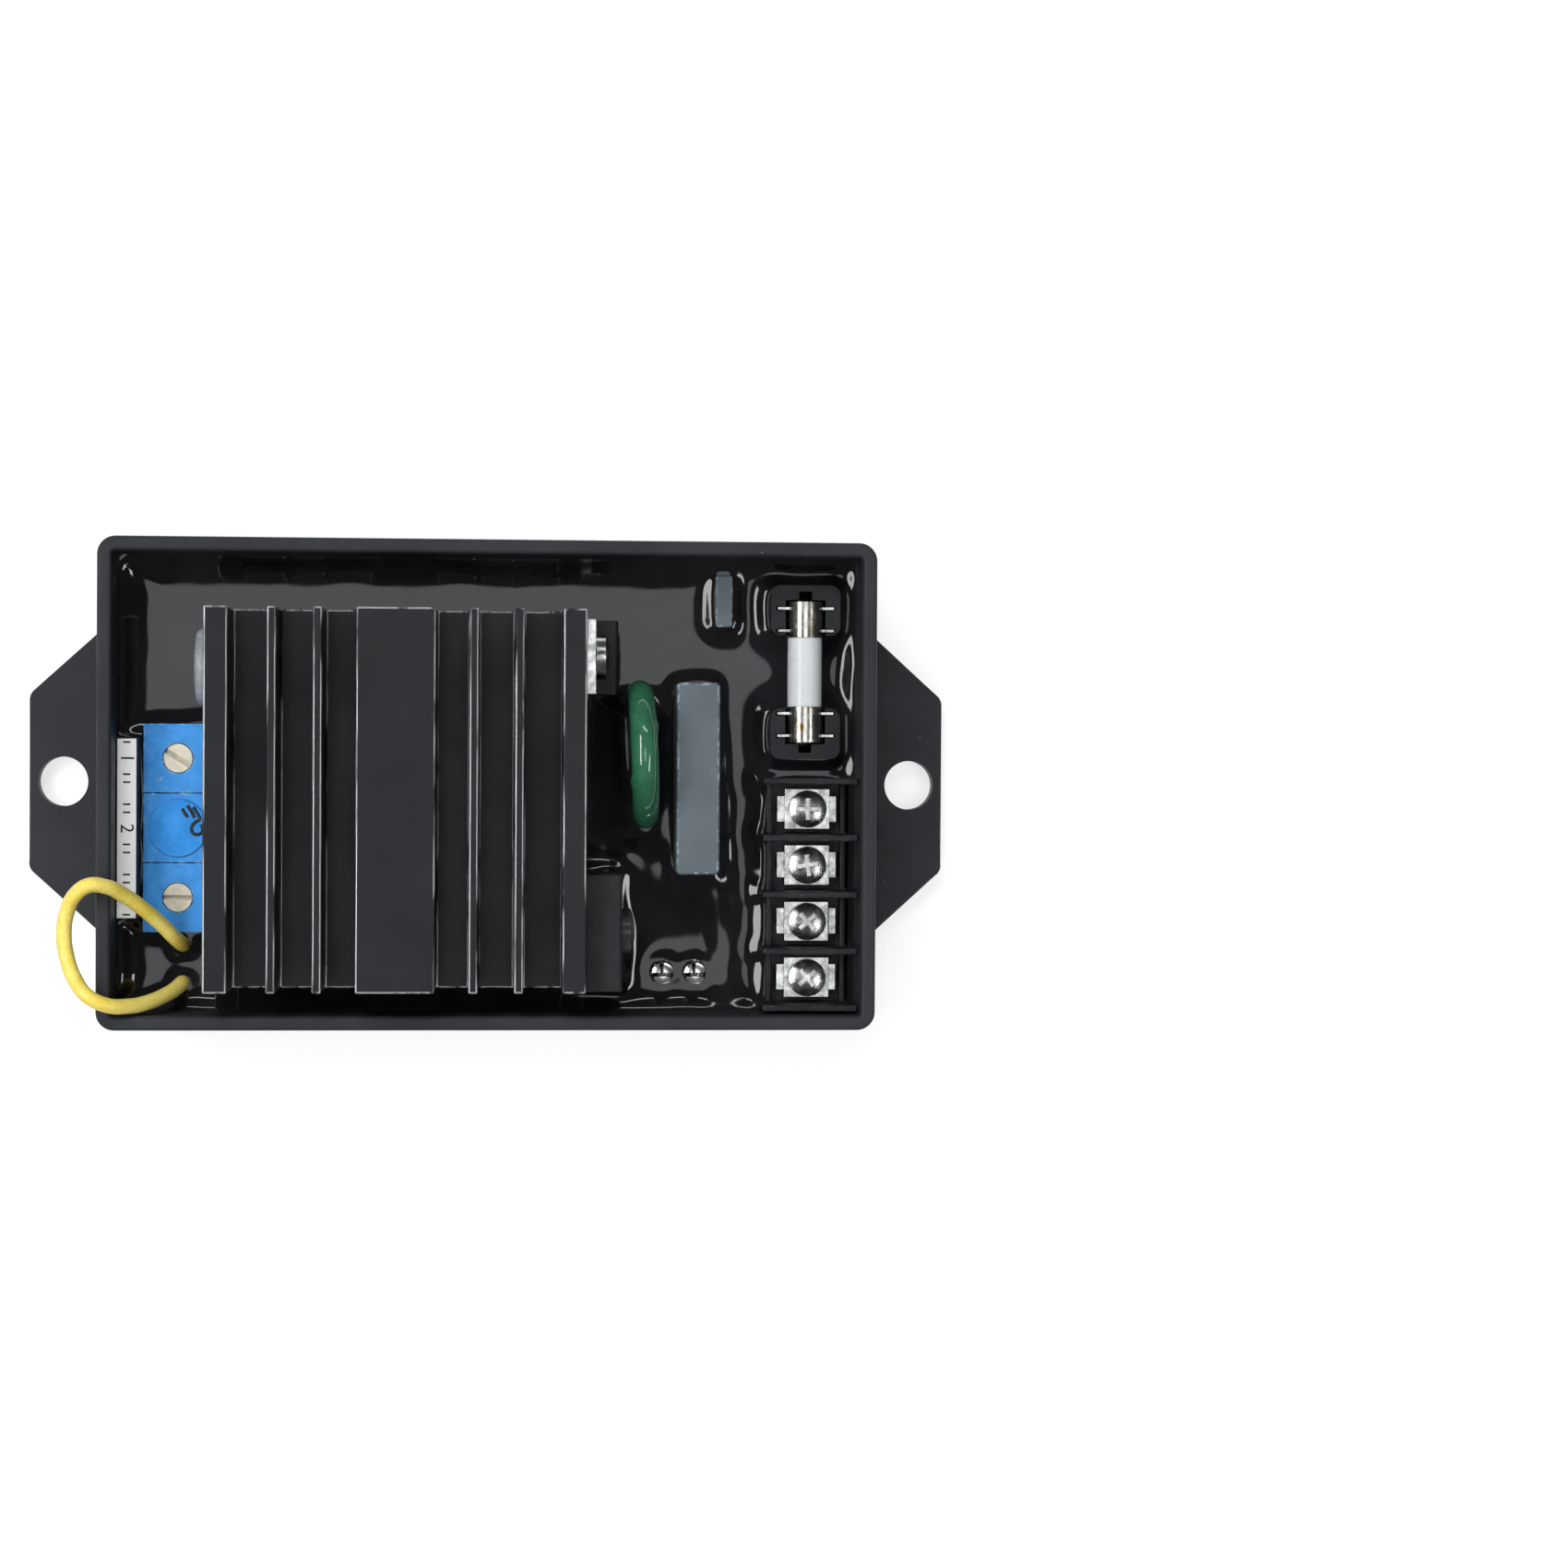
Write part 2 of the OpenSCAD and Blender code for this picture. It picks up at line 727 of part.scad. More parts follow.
module power_transistor_screw() {
    color("#3a3c3f") package_screw(sink_right + large_t, large_y, large_hole_z);
}

module thyristor_body() {
    body_t = small_t - tab_t;
    color("#303235") translate([sink_right + tab_t, small_y + small_w / 2, small_z])
        rotate([90, 0, 0]) linear_extrude(small_w)
            polygon([
                [0, 0], [body_t - mould_bevel, 0], [body_t, mould_bevel],
                [body_t, small_body_h - 2 * mould_bevel], [body_t - mould_bevel, small_body_h],
                [0, small_body_h]
            ]);
}

module thyristor_frame() {
    color("silver") {
        difference() {
            translate([sink_right, small_y - small_w / 2, small_z]) cube([tab_t, small_w, small_h]);
            translate([sink_right - over, small_y, small_hole_z])
                rod_x(fix_d + hole_play, tab_t + 2 * over);
        }
        for (i = [-1 : 1]) translate([small_lead_x, small_y + i * small_lead_pitch, 0]) {
            translate([0, 0, tail_z]) block(small_lead[0], small_lead[1], small_z - tail_z);
            translate([0, 0, small_z - small_lead_wide_l])
                block(small_lead[0], small_lead_wide, small_lead_wide_l);
        }
    }
}

module thyristor_screw() {
    color("silver") package_screw(sink_right + tab_t, small_y, small_hole_z);
}

// Puts a piece at the varistor's place, turned about the upright axis
module at_varistor() {
    translate([varistor_x, varistor_y, 0]) rotate(varistor_turn) children();
}

module varistor() {
    color("#2f7a4e") at_varistor() difference() {
        union() {
            translate([0, 0, varistor_z]) edge_disc(varistor_d, varistor_t, varistor_edge);
            for (side = [-1, 1])
                translate([side * varistor_t / 2, side * varistor_lead_pitch / 2, varistor_z - lead_ridge_l])
                    cylinder(d = lead_ridge_d, h = lead_ridge_l);
        }
        lead_pair(varistor_lead_pitch, lead_d, varistor_z - varistor_d / 4);
    }
}

module varistor_leads() {
    color("silver") at_varistor() lead_pair(varistor_lead_pitch, lead_d, varistor_z - varistor_d / 4);
}

module film_capacitor() {
    color("#66727a") translate([film_x, film_y, top_z])
        rounded_block(film_w, film_l, film_h, box_edge_r);
}

module film_capacitor_leads() {
    color("silver") translate([film_x, film_y, 0]) lead_pair(film_lead_pitch, lead_d, top_z);
}

module small_capacitor() {
    color("#66727a") translate([small_film_x, small_film_y, top_z])
        rounded_block(small_film_w, small_film_l, small_film_h, small_edge_r);
}

module small_capacitor_leads() {
    color("silver") translate([small_film_x, small_film_y, 0])
        lead_pair(small_film_lead_pitch, disc_lead_d, top_z);
}

module disc_capacitor() {
    color("#a0a6ad") difference() {
        translate([disc_x, disc_y, disc_z]) edge_disc(disc_d, disc_t, disc_edge);
        disc_capacitor_leads();
    }
}

module disc_capacitor_leads() {
    color("silver") translate([disc_x, disc_y, 0]) lead_pair(disc_lead_pitch, disc_lead_d, disc_z);
}

// Block of the fuse holder: a low base with a tower at each end
module fuse_holder() {
    color("#2a2c2f") difference() {
        translate([fuse_x, holder_y, top_z]) {
            rounded_block(holder_w, holder_l, holder_base_h, holder_edge_r);
            for (side = [-1, 1]) translate([0, side * (holder_l - tower_l) / 2, 0])
                rounded_block(holder_w, tower_l, tower_h, holder_edge_r);
        }
        translate([fuse_x, holder_y, clip_seat_z])
            block(fuse_d + 2 * slot_play, fuse_l + 2 * slot_play, tower_h);
        translate([fuse_x, holder_y, clip_seat_z])
            block(notch_w, holder_l - notch_w, tower_h);
        for (side = [-1, 1], fork = [-1, 1])
            translate([fuse_x, holder_y + side * tower_y + fork * clip_span / 2, clip_seat_z])
                block(clip_w + 2 * slot_play, clip_t + slot_play, tower_h);
        clip_tails();
    }
}

// Solder tails of the two clips, under their base plates
module clip_tails() {
    for (side = [-1, 1])
        translate([fuse_x, holder_y + side * tower_y, tail_z])
            block(clip_tail_w, clip_t, clip_seat_z - tail_z);
}

// Two clips, each a bent strip with a fork plate at both ends that grips the cap
module fuse_clips() {
    color("silver") {
        clip_tails();
        for (side = [-1, 1]) translate([fuse_x, holder_y + side * tower_y, 0]) difference() {
            union() {
                translate([0, 0, clip_seat_z]) block(fuse_d - 2 * clip_base_inset, clip_span, clip_t);
                for (fork = [-1, 1]) translate([0, fork * clip_span / 2, clip_seat_z])
                    block(clip_w, clip_t, clip_top_z - clip_seat_z);
            }
            translate([0, 0, fuse_z]) rod_y(fuse_d, clip_span + 2 * over);
            translate([0, 0, fuse_z]) block(fork_mouth, clip_span + 2 * over, fuse_d);
        }
    }
}

module fuse_caps() {
    color("#d8d6cf") for (side = [-1, 1])
        translate([fuse_x, holder_y + side * (fuse_l - cap_l) / 2, fuse_z]) difference() {
            rod_y(fuse_d, cap_l);
            translate([0, -side * cap_t, 0]) rod_y(tube_d, cap_l);
        }
}

module fuse_tube() {
    color("#dadee2") translate([fuse_x, holder_y, fuse_z]) difference() {
        rod_y(tube_d, fuse_l - 2 * cap_t);
        rod_y(tube_d - 2 * tube_t, fuse_l);
    }
}

module fuse_element() {
    color("silver") translate([fuse_x, holder_y, fuse_z]) rod_y(element_d, fuse_l - 2 * cap_t);
}

// Body of the terminal block below the plates, before its wells are cut
module terminal_base() {
    translate([block_body_x, block_y, top_z]) block(block_w, block_l, seat_h);
}

module terminal_block() {
    color("#26282b") difference() {
        union() {
            terminal_base();
            for (side = [-1, 1])
                translate([block_body_x + side * (block_w - rail_t) / 2, block_y, top_z])
                    block(rail_t, block_l, seat_h + rail_h);
            for (i = [0 : terminals])
                translate([block_x, block_y + (i - terminals / 2) * terminal_pitch, top_z])
                    block(barrier_l, barrier_t, barrier_h);
        }
        for (i = [1 : terminals]) {
            translate([block_x, terminal_y(i), screw_well_z])
                cylinder(d = screw_well_d, h = seat_z - screw_well_z + over);
            translate([plate_tail_x, terminal_y(i), top_z - over])
                block(plate_tail[0], plate_tail[1], seat_h + 2 * over);
        }
    }
}

module terminal_plates() {
    color("silver") for (i = [1 : terminals]) {
        translate([block_x, terminal_y(i), seat_z]) difference() {
            block(plate_l, plate_w, plate_t);
            translate([0, 0, -over]) cylinder(d = screw_d + 2 * screw_gap, h = plate_t + 2 * over);
        }
        translate([plate_tail_x, terminal_y(i), tail_z])
            block(plate_tail[0], plate_tail[1], seat_z - tail_z);
    }
}

module clamp_washer(i) {
    color("#d0d0cc") translate([block_x, terminal_y(i), plate_z]) difference() {
        block(clamp_l, clamp_w, clamp_t);
        translate([0, 0, -over]) cylinder(d = screw_d + 2 * screw_gap, h = clamp_t + 2 * over);
    }
}

module terminal_screw(i) {
    color("#c8c6c0") translate([block_x, terminal_y(i), clamp_z])
        cross_screw(screw_head_d, screw_head_h, screw_d, screw_l, cross_angle[i - 1]);
}

// Puts a piece at the place of both lamps
module at_lamps() {
    for (x = [-0.5, 0.5] * lamp_pitch) translate([lamp_x + x, lamp_y, 0]) children();
}

module led_lenses() {
    color("#dfe4e6") difference() {
        at_lamps() translate([0, 0, lamp_z]) {
            cylinder(d = flange_d, h = flange_t);
            cylinder(d = lamp_d, h = flange_t + lamp_straight);
            translate([0, 0, flange_t + lamp_straight]) sphere(d = lamp_d);
        }
        led_leads();
    }
}

module led_leads() {
    color("silver") at_lamps() for (y = [-0.5, 0.5] * lamp_lead_pitch)
        translate([0, y, tail_z])
            block(lamp_lead_w, lamp_lead_w, lamp_z + lamp_post_h - tail_z);
}

// Middle of trimmer i, counted from the back
function trimmer_at(i) = [trimmer_x, trimmer_y + (2 - i) * trimmer_pitch, trimmer_z];

module trimmer_envelope(i) {
    translate(trimmer_at(i)) block(trimmer_w, trimmer_w, trimmer_h);
}

module trimmer_body(i) {
    chamber_h = rotor_flange_t + 2 * rotor_play;
    chamber_z = trimmer_h - rotor_cover - chamber_h;
    color("#3d82cc") difference() {
        trimmer_envelope(i);
        translate(trimmer_at(i)) {
            translate([0, 0, chamber_z]) cylinder(d = rotor_flange_d + 2 * rotor_gap, h = chamber_h);
            translate([0, 0, chamber_z]) cylinder(d = rotor_d + 2 * rotor_gap, h = trimmer_h);
            translate([mark_inset - trimmer_w / 2, mark_inset - trimmer_w / 2, trimmer_h - mark_depth])
                cylinder(d = mark_d, h = mark_depth + over);
        }
    }
}

module trimmer_rotor(i) {
    base_z = trimmer_h - rotor_cover - rotor_flange_t - rotor_play;
    color("#e1d7c3") translate(trimmer_at(i)) difference() {
        union() {
            translate([0, 0, base_z]) cylinder(d = rotor_flange_d, h = rotor_flange_t);
            translate([0, 0, base_z]) cylinder(d = rotor_d, h = trimmer_h - base_z);
        }
        rotate(rotor_angle[i - 1]) translate([0, 0, trimmer_h - rotor_slot_depth])
            block(rotor_d + 2 * over, rotor_slot_w, rotor_slot_depth + over);
    }
}

module sealing_lacquer() {
    color("#2f7fd0") translate(trimmer_at(2) + [0, 0, trimmer_h]) cylinder(d = lacquer_d, h = lacquer_t);
}

module trimmer_pins() {
    color("silver") for (i = [1 : 3], offset = [[-pin_offset, 0], [0, -pin_offset], [0, pin_offset]])
        translate([trimmer_at(i)[0] + offset[0], trimmer_at(i)[1] + offset[1], tail_z])
            block(pin_w, pin_w, trimmer_z - tail_z);
}

module label_strip() {
    color("#dedede") translate([in_left + label_w / 2, label_y, ledge_z])
        block(label_w - 2 * label_border, label_l - 2 * label_border, label_t);
}

// Direction of the wire at route point i, and the two directions across it
function route_dir(i) =
    i == 0 || i == len(wire_route) - 1 ? [0, 0, i == 0 ? 1 : -1]
    : unit(wire_route[i + 1] - wire_route[i - 1]);
function across(dir, last) = unit(last - dir * (last * dir));
function carried(i) = i == 0 ? [1, 0, 0] : across(route_dir(i), carried(i - 1));

module jumper_wire() {
    n = len(wire_route);
    ring = [
        for (i = [0 : n - 1]) for (k = [0 : wire_sides - 1])
            let (u = carried(i), v = cross(route_dir(i), u), a = 360 * k / wire_sides)
                wire_route[i] + (u * cos(a) + v * sin(a)) * wire_d / 2
    ];
    sides = [
        for (i = [0 : n - 2]) for (k = [0 : wire_sides - 1])
            let (a = i * wire_sides + k, b = i * wire_sides + (k + 1) % wire_sides)
                each [[a, b + wire_sides, b], [a, a + wire_sides, b + wire_sides]]
    ];
    first = [for (k = [0 : wire_sides - 1]) k];
    last = [for (k = [wire_sides - 1 : -1 : 0]) (n - 1) * wire_sides + k];
    color("#d7b93c") polyhedron(points = ring, faces = concat(sides, [first, last]));
}

module control_ic() {
    color("#202225") difference() {
        translate([ic_x, ic_y, top_z + ic_stand]) block(ic_w, ic_l, ic_h);
        control_ic_pins();
    }
}

module control_ic_pins() {
    shoulder_z = top_z + ic_stand + ic_h / 2;
    reach = (ic_pin_row - ic_w) / 2 + ic_pin_root;
    color("silver") for (side = [-1, 1], i = [0 : ic_side_pins - 1])
        translate([ic_x, ic_y + (i - (ic_side_pins - 1) / 2) * ic_pin_pitch, 0]) {
            translate([side * ic_pin_row / 2, 0, tail_z])
                block(ic_pin_t, ic_pin_w, shoulder_z + ic_pin_t - tail_z);
            translate([side * (ic_pin_row / 2 + ic_pin_t / 2 - reach / 2), 0, shoulder_z])
                block(reach, ic_pin_w, ic_pin_t);
        }
}

// Round bodies of axial parts lying along X in a row along Y
module axial_bodies(x, y, d, l, count, pitch) {
    for (i = [0 : count - 1])
        translate([x - l / 2, y + i * pitch, top_z + axial_stand + d / 2]) rod_x(d, l);
}

// Bent leads of axial parts: out of each end and down through the board
module axial_leads(x, y, d, l, span, count, pitch) {
    z = top_z + axial_stand + d / 2;
    for (i = [0 : count - 1], side = [-1, 1]) translate([x, y + i * pitch, 0]) {
        translate([side * span / 2, 0, tail_z]) block(axial_lead, axial_lead, z + axial_lead / 2 - tail_z);
        translate([side * (span + axial_lead + l) / 4, 0, z - axial_lead / 2])
            block((span + axial_lead - l) / 2, axial_lead, axial_lead);
    }
}

module resistors() {
    color("#b79a6a")
        axial_bodies(resistor_x, resistor_y, resistor_d, resistor_l, resistor_count, resistor_pitch);
}

module resistor_leads() {
    color("silver") axial_leads(
        resistor_x, resistor_y, resistor_d, resistor_l, resistor_span, resistor_count, resistor_pitch
    );
}

module diodes() {
    color("#202225") axial_bodies(diode_x, diode_y, diode_d, diode_l, diode_count, diode_pitch);
}

module diode_leads() {
    color("silver")
        axial_leads(diode_x, diode_y, diode_d, diode_l, diode_span, diode_count, diode_pitch);
}

housing();
circuit_board();
potting();
heatsink();
heatsink_pins();
power_transistor_body();
power_transistor_frame();
power_transistor_screw();
thyristor_body();
thyristor_frame();
thyristor_screw();
varistor();
varistor_leads();
film_capacitor();
film_capacitor_leads();
small_capacitor();
small_capacitor_leads();
disc_capacitor();
disc_capacitor_leads();
fuse_holder();
fuse_clips();
fuse_caps();
fuse_tube();
fuse_element();
terminal_block();
terminal_plates();
clamp_washer(1);  // clamp_washer_1
clamp_washer(2);  // clamp_washer_2
clamp_washer(3);  // clamp_washer_3
clamp_washer(4);  // clamp_washer_4
terminal_screw(1);  // terminal_screw_1
terminal_screw(2);  // terminal_screw_2
terminal_screw(3);  // terminal_screw_3
terminal_screw(4);  // terminal_screw_4
led_lenses();
led_leads();
trimmer_body(1);  // trimmer_body_1
trimmer_body(2);  // trimmer_body_2
trimmer_body(3);  // trimmer_body_3
trimmer_rotor(1);  // trimmer_rotor_1
trimmer_rotor(2);  // trimmer_rotor_2
trimmer_rotor(3);  // trimmer_rotor_3
sealing_lacquer();
trimmer_pins();
label_strip();
jumper_wire();
control_ic();
control_ic_pins();
resistors();
resistor_leads();
diodes();
diode_leads();
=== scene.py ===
"""Generator voltage regulator in a potted tray, dressed for a studio picture seen from above."""

import logging
import math
from abc import ABC, abstractmethod
from dataclasses import dataclass, field
from enum import Enum
from functools import reduce
from typing import Any, Optional, Sequence, Union

import bmesh
import bpy
from mathutils import Euler, Matrix, Vector, noise


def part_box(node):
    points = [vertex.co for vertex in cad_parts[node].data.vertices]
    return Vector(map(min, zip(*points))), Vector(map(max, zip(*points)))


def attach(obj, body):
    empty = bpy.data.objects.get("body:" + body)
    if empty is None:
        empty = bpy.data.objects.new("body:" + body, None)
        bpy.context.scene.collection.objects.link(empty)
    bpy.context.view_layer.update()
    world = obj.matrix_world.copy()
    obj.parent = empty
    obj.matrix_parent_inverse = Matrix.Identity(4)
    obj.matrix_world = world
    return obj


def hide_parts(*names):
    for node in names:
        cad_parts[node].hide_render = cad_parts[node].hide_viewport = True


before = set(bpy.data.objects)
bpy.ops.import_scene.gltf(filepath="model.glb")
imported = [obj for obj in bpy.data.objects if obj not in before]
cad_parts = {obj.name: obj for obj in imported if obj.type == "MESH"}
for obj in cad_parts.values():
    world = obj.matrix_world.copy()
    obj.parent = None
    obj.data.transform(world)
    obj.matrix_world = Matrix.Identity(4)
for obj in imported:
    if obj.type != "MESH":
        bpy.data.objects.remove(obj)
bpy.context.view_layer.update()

log = logging.getLogger("regulator")

MM = 0.001
FIXED_BODY = "regulator"

# Broken edges: the face attribute and the material slot that mark them, and their steps
EDGE_WEAR_AND_HIGHLIGHT = "worn"
EDGE_SLOT = 1
EDGE_STEPS = 2

# An edge is broken past CREASE degrees; faces within FLAT degrees are one, and shading turns up to EDGE_TURN
CREASE = 40.0
FLAT = 0.5
EDGE_TURN = 53.0

# Room for breaking: the share that is used, the cosine at which an edge runs on, the least width in
# millimetres, and the area in square metres past which a fold counts
ROOM_SHARE = 0.42
IN_LINE = 0.9
LEAST_EDGE = 0.01
FOLD_AREA = 1e-9

# Distances in metres within which corners of CAD triangles, or of a cut or poured mesh, are one
MERGE = 1e-6
TOUCH = 1e-7

# Noise: its mean, its detail where it is smooth or fine, and the bands of its values that are used
NOISE_MEAN = 0.5
SMOOTH = 1.0
FINE = 2.0
TONE_BAND = (0.36, 0.64)
ROUGH_BAND = (0.3, 0.7)
SPECK_BAND = (0.55, 0.75)

Colour = tuple[float, float, float]
Triple = tuple[float, float, float]
Window = tuple[float, float, float, float]
Term = Union["Signal", float]
Key = Union[int, str]


class Slot(str, Enum):
    """The record's material slots."""

    TRAY = "tray_plastic"
    RESIN = "resin"
    BOARD = "board"
    ANODISED = "anodised"
    TINNED = "tinned"
    BLACK_SCREW = "black_screw"
    PACKAGE = "package"
    VARISTOR = "varistor_coat"
    CAPACITOR = "capacitor_case"
    DISC = "disc_coat"
    NICKEL = "cap_nickel"
    CERAMIC = "ceramic"
    TERMINAL = "terminal_plastic"
    LENS = "clear_lens"
    TRIMMER = "trimmer_blue"
    ROTOR = "rotor_cream"
    LACQUER = "lacquer"
    LABEL = "label"
    WIRE = "wire"
    RESISTOR = "resistor_coat"


class Climb(Enum):
    """How the wet resin climbed a piece: height and reach in millimetres."""

    TALL = (1.9, 1.6)
    MIDDLE = (1.5, 1.2)
    LOW = (0.8, 0.6)
    SLIGHT = (0.66, 0.65)


class Signal:
    """A node's output socket that can stand in a Python expression."""

    def __init__(self, sheet: "NodeSheet", socket: bpy.types.NodeSocket) -> None:
        """Keeps the socket and the sheet it lies on."""
        self.sheet = sheet
        self.socket = socket

    def __add__(self, other: Term) -> "Signal":
        """Sum, either way round."""
        return self.sheet.math("ADD", self, other)

    def __mul__(self, other: Term) -> "Signal":
        """Product, either way round."""
        return self.sheet.math("MULTIPLY", self, other)

    __radd__ = __add__
    __rmul__ = __mul__

    def __sub__(self, other: Term) -> "Signal":
        """Difference."""
        return self.sheet.math("SUBTRACT", self, other)

    def __rsub__(self, other: Term) -> "Signal":
        """Difference, number first."""
        return self.sheet.math("SUBTRACT", other, self)

    def __truediv__(self, other: Term) -> "Signal":
        """Quotient."""
        return self.sheet.math("DIVIDE", self, other)

    def __neg__(self) -> "Signal":
        """Opposite."""
        return self * -1.0

    def exp(self) -> "Signal":
        """e to this power."""
        return self.sheet.math("EXPONENT", self)

    def most(self, other: Term) -> "Signal":
        """The larger of two values."""
        return self.sheet.math("MAXIMUM", self, other)

    def ramp(self, low: float, high: float) -> "Signal":
        """0 at low and 1 at high, eased between."""
        return self.sheet.node("ShaderNodeMapRange", {"interpolation_type": "SMOOTHSTEP"},
                               {"Value": self, "From Min": low, "From Max": high})

    def mix(self, low: Union["Signal", Colour], high: Union["Signal", Colour]) -> "Signal":
        """Mixes two colours by this value.

        Args:
            low: Colour where the value is 0.
            high: Colour where the value is 1.

        Returns:
            The mixed colour.
        """
        # The node's colour sockets share their names with others, so they go by number
        factor, first, second, result = 0, 6, 7, 2
        return self.sheet.node("ShaderNodeMix", {"data_type": "RGBA"},
                               {factor: self, first: low, second: high}, result)

    def axis(self, index: int) -> "Signal":
        """X, Y or Z of a vector."""
        return self.sheet.node("ShaderNodeSeparateXYZ", {}, {0: self}, index)


class NodeSheet:
    """A node tree and the one method that adds a node to it."""

    def __init__(self, tree: bpy.types.NodeTree) -> None:
        """Starts on an empty tree."""
        self.tree = tree
        self.tree.nodes.clear()

    def node(self, kind: str, settings: Optional[dict[str, Any]] = None,
             sockets: Optional[dict[Key, Any]] = None, outlet: Key = 0) -> Signal:
        """Adds a node, sets it and links it.

        Args:
            kind: The node's type.
            settings: The node's own settings, set first.
            sockets: A value or a signal for each input named here.
            outlet: Which output to return.

        Returns:
            The output asked for.
        """
        made = self.tree.nodes.new(kind)
        for key, value in (settings or {}).items():
            setattr(made, key, value)
        for key, value in (sockets or {}).items():
            socket = made.inputs[key]
            if isinstance(value, Signal):
                self.tree.links.new(value.socket, socket)
            elif socket.type == "RGBA":
                socket.default_value = (*value, 1.0)
            else:
                socket.default_value = value
        return Signal(self, made.outputs[outlet])

    def math(self, operation: str, *terms: Term) -> Signal:
        """Adds a Math node on these terms, in order."""
        return self.node("ShaderNodeMath", {"operation": operation}, dict(enumerate(terms)))

    def finish_at(self, kind: str, links: dict[Key, Signal]) -> None:
        """Adds the tree's end node.

        Args:
            kind: The end node's type.
            links: Signals for its inputs.
        """
        end = self.tree.nodes.new(kind)
        for key, signal in links.items():
            self.tree.links.new(signal.socket, end.inputs[key])

    def cloud(self, place: Signal, size: float, detail: float = 3.0) -> Signal:
        """Soft noise whose patches are about size millimetres."""
        return self.node("ShaderNodeTexNoise", {},
                         {"Vector": place, "Scale": 1.0 / (size * MM), "Detail": detail})

    def sway(self, place: Signal, size: float) -> Signal:
        """Smooth noise about zero."""
        return self.cloud(place, size, SMOOTH) - NOISE_MEAN

    def join(self, x: Term, y: Term, z: Term) -> Signal:
        """A vector from three values."""
        return self.node("ShaderNodeCombineXYZ", {}, {0: x, 1: y, 2: z})


class FinishSheet(NodeSheet):
    """The node tree of one material."""

    def __init__(self, name: str) -> None:
        """Makes the material."""
        self.material = bpy.data.materials.new(name)
        self.material.use_nodes = True
        super().__init__(self.material.node_tree)

    def place(self, stretch: Triple = (1.0, 1.0, 1.0)) -> Signal:
        """The point on the piece in its own frame, stretched along its axes."""
        point = self.node("ShaderNodeTexCoord", {}, {}, "Object")
        return self.node("ShaderNodeMapping", {}, {"Vector": point, "Scale": stretch})

    def specks(self, place: Signal, pitch: float, share: float) -> Signal:
        """Scattered specks.

        Args:
            place: The point on the piece.
            pitch: Mean distance between specks in millimetres.
            share: How much of each cell a speck takes, 0 to 1.

        Returns:
            1 on a speck and 0 elsewhere.
        """
        cells = {"Vector": place, "Scale": 1.0 / (pitch * MM)}
        near, chance = [self.node("ShaderNodeTexVoronoi", {"feature": "F1"}, cells, outlet)
                        for outlet in ("Distance", "Color")]
        return (1.0 - near.ramp(share / 2, share)) * chance.axis(0).ramp(*SPECK_BAND)

    def close(self, colour: Signal, rough: Signal, height: Signal, relief: float,
              others: dict[str, Any]) -> bpy.types.Material:
        """Ends the tree in one shader.

        Args:
            colour: Base colour.
            rough: Roughness.
            height: Height of the fine relief, 0 to 1.
            relief: Depth of that relief in millimetres.
            others: Values of the shader's other sockets.

        Returns:
            The finished material.
        """
        normal = self.node("ShaderNodeBump", {},
                           {"Strength": 1.0, "Distance": relief * MM, "Height": height})
        shader = self.node("ShaderNodeBsdfPrincipled", {},
                           {"Base Color": colour, "Roughness": rough, "Normal": normal, **others})
        self.finish_at("ShaderNodeOutputMaterial", {"Surface": shader})
        return self.material


class ShapeSheet(NodeSheet):
    """A Geometry Nodes tree with named inputs, turned into a plain mesh."""

    def __init__(self, name: str) -> None:
        """Makes the tree with its inlet and outlet.

        Args:
            name: What the tree, and the mesh made of it, is called.
        """
        super().__init__(bpy.data.node_groups.new(name, "GeometryNodeTree"))
        self.name = name
        self.values: dict[str, Any] = {}
        self.tree.interface.new_socket("Geometry", in_out="OUTPUT", socket_type="NodeSocketGeometry")
        self.entry = self.tree.nodes.new("NodeGroupInput")

    def inlet(self, name: str, value: Any) -> Signal:
        """Adds a named input.

        Args:
            name: What the input is called.
            value: A number, an object, a vector or a material.

        Returns:
            The input's signal.
        """
        kinds = {float: "Float", int: "Int", tuple: "Vector", bpy.types.Object: "Object",
                 bpy.types.Material: "Material"}
        kind = kinds[type(value)]
        socket = self.tree.interface.new_socket(name, in_out="INPUT", socket_type="NodeSocket" + kind)
        self.values[socket.identifier] = value
        return Signal(self, self.entry.outputs[name])

    def bake(self, geometry: Signal, material: bpy.types.Material) -> bpy.types.Object:
        """Ends the tree and turns what it makes into a plain mesh.

        Args:
            geometry: What the tree has made.
            material: The finish it gets.

        Returns:
            An object at the origin with that mesh and no modifier.
        """
        finish = self.inlet("Finish", material)
        whole = self.node("GeometryNodeRealizeInstances", {}, {0: geometry})
        painted = self.node("GeometryNodeSetMaterial", {}, {"Geometry": whole, "Material": finish})
        self.finish_at("NodeGroupOutput", {0: painted})
        seed = new_object(self.name + "_seed", bpy.data.meshes.new(self.name + "_seed"))
        modifier = seed.modifiers.new(self.name, "NODES")
        modifier.node_group = self.tree
        for identifier, value in self.values.items():
            modifier[identifier] = value
        return new_object(self.name, plain_mesh(seed))


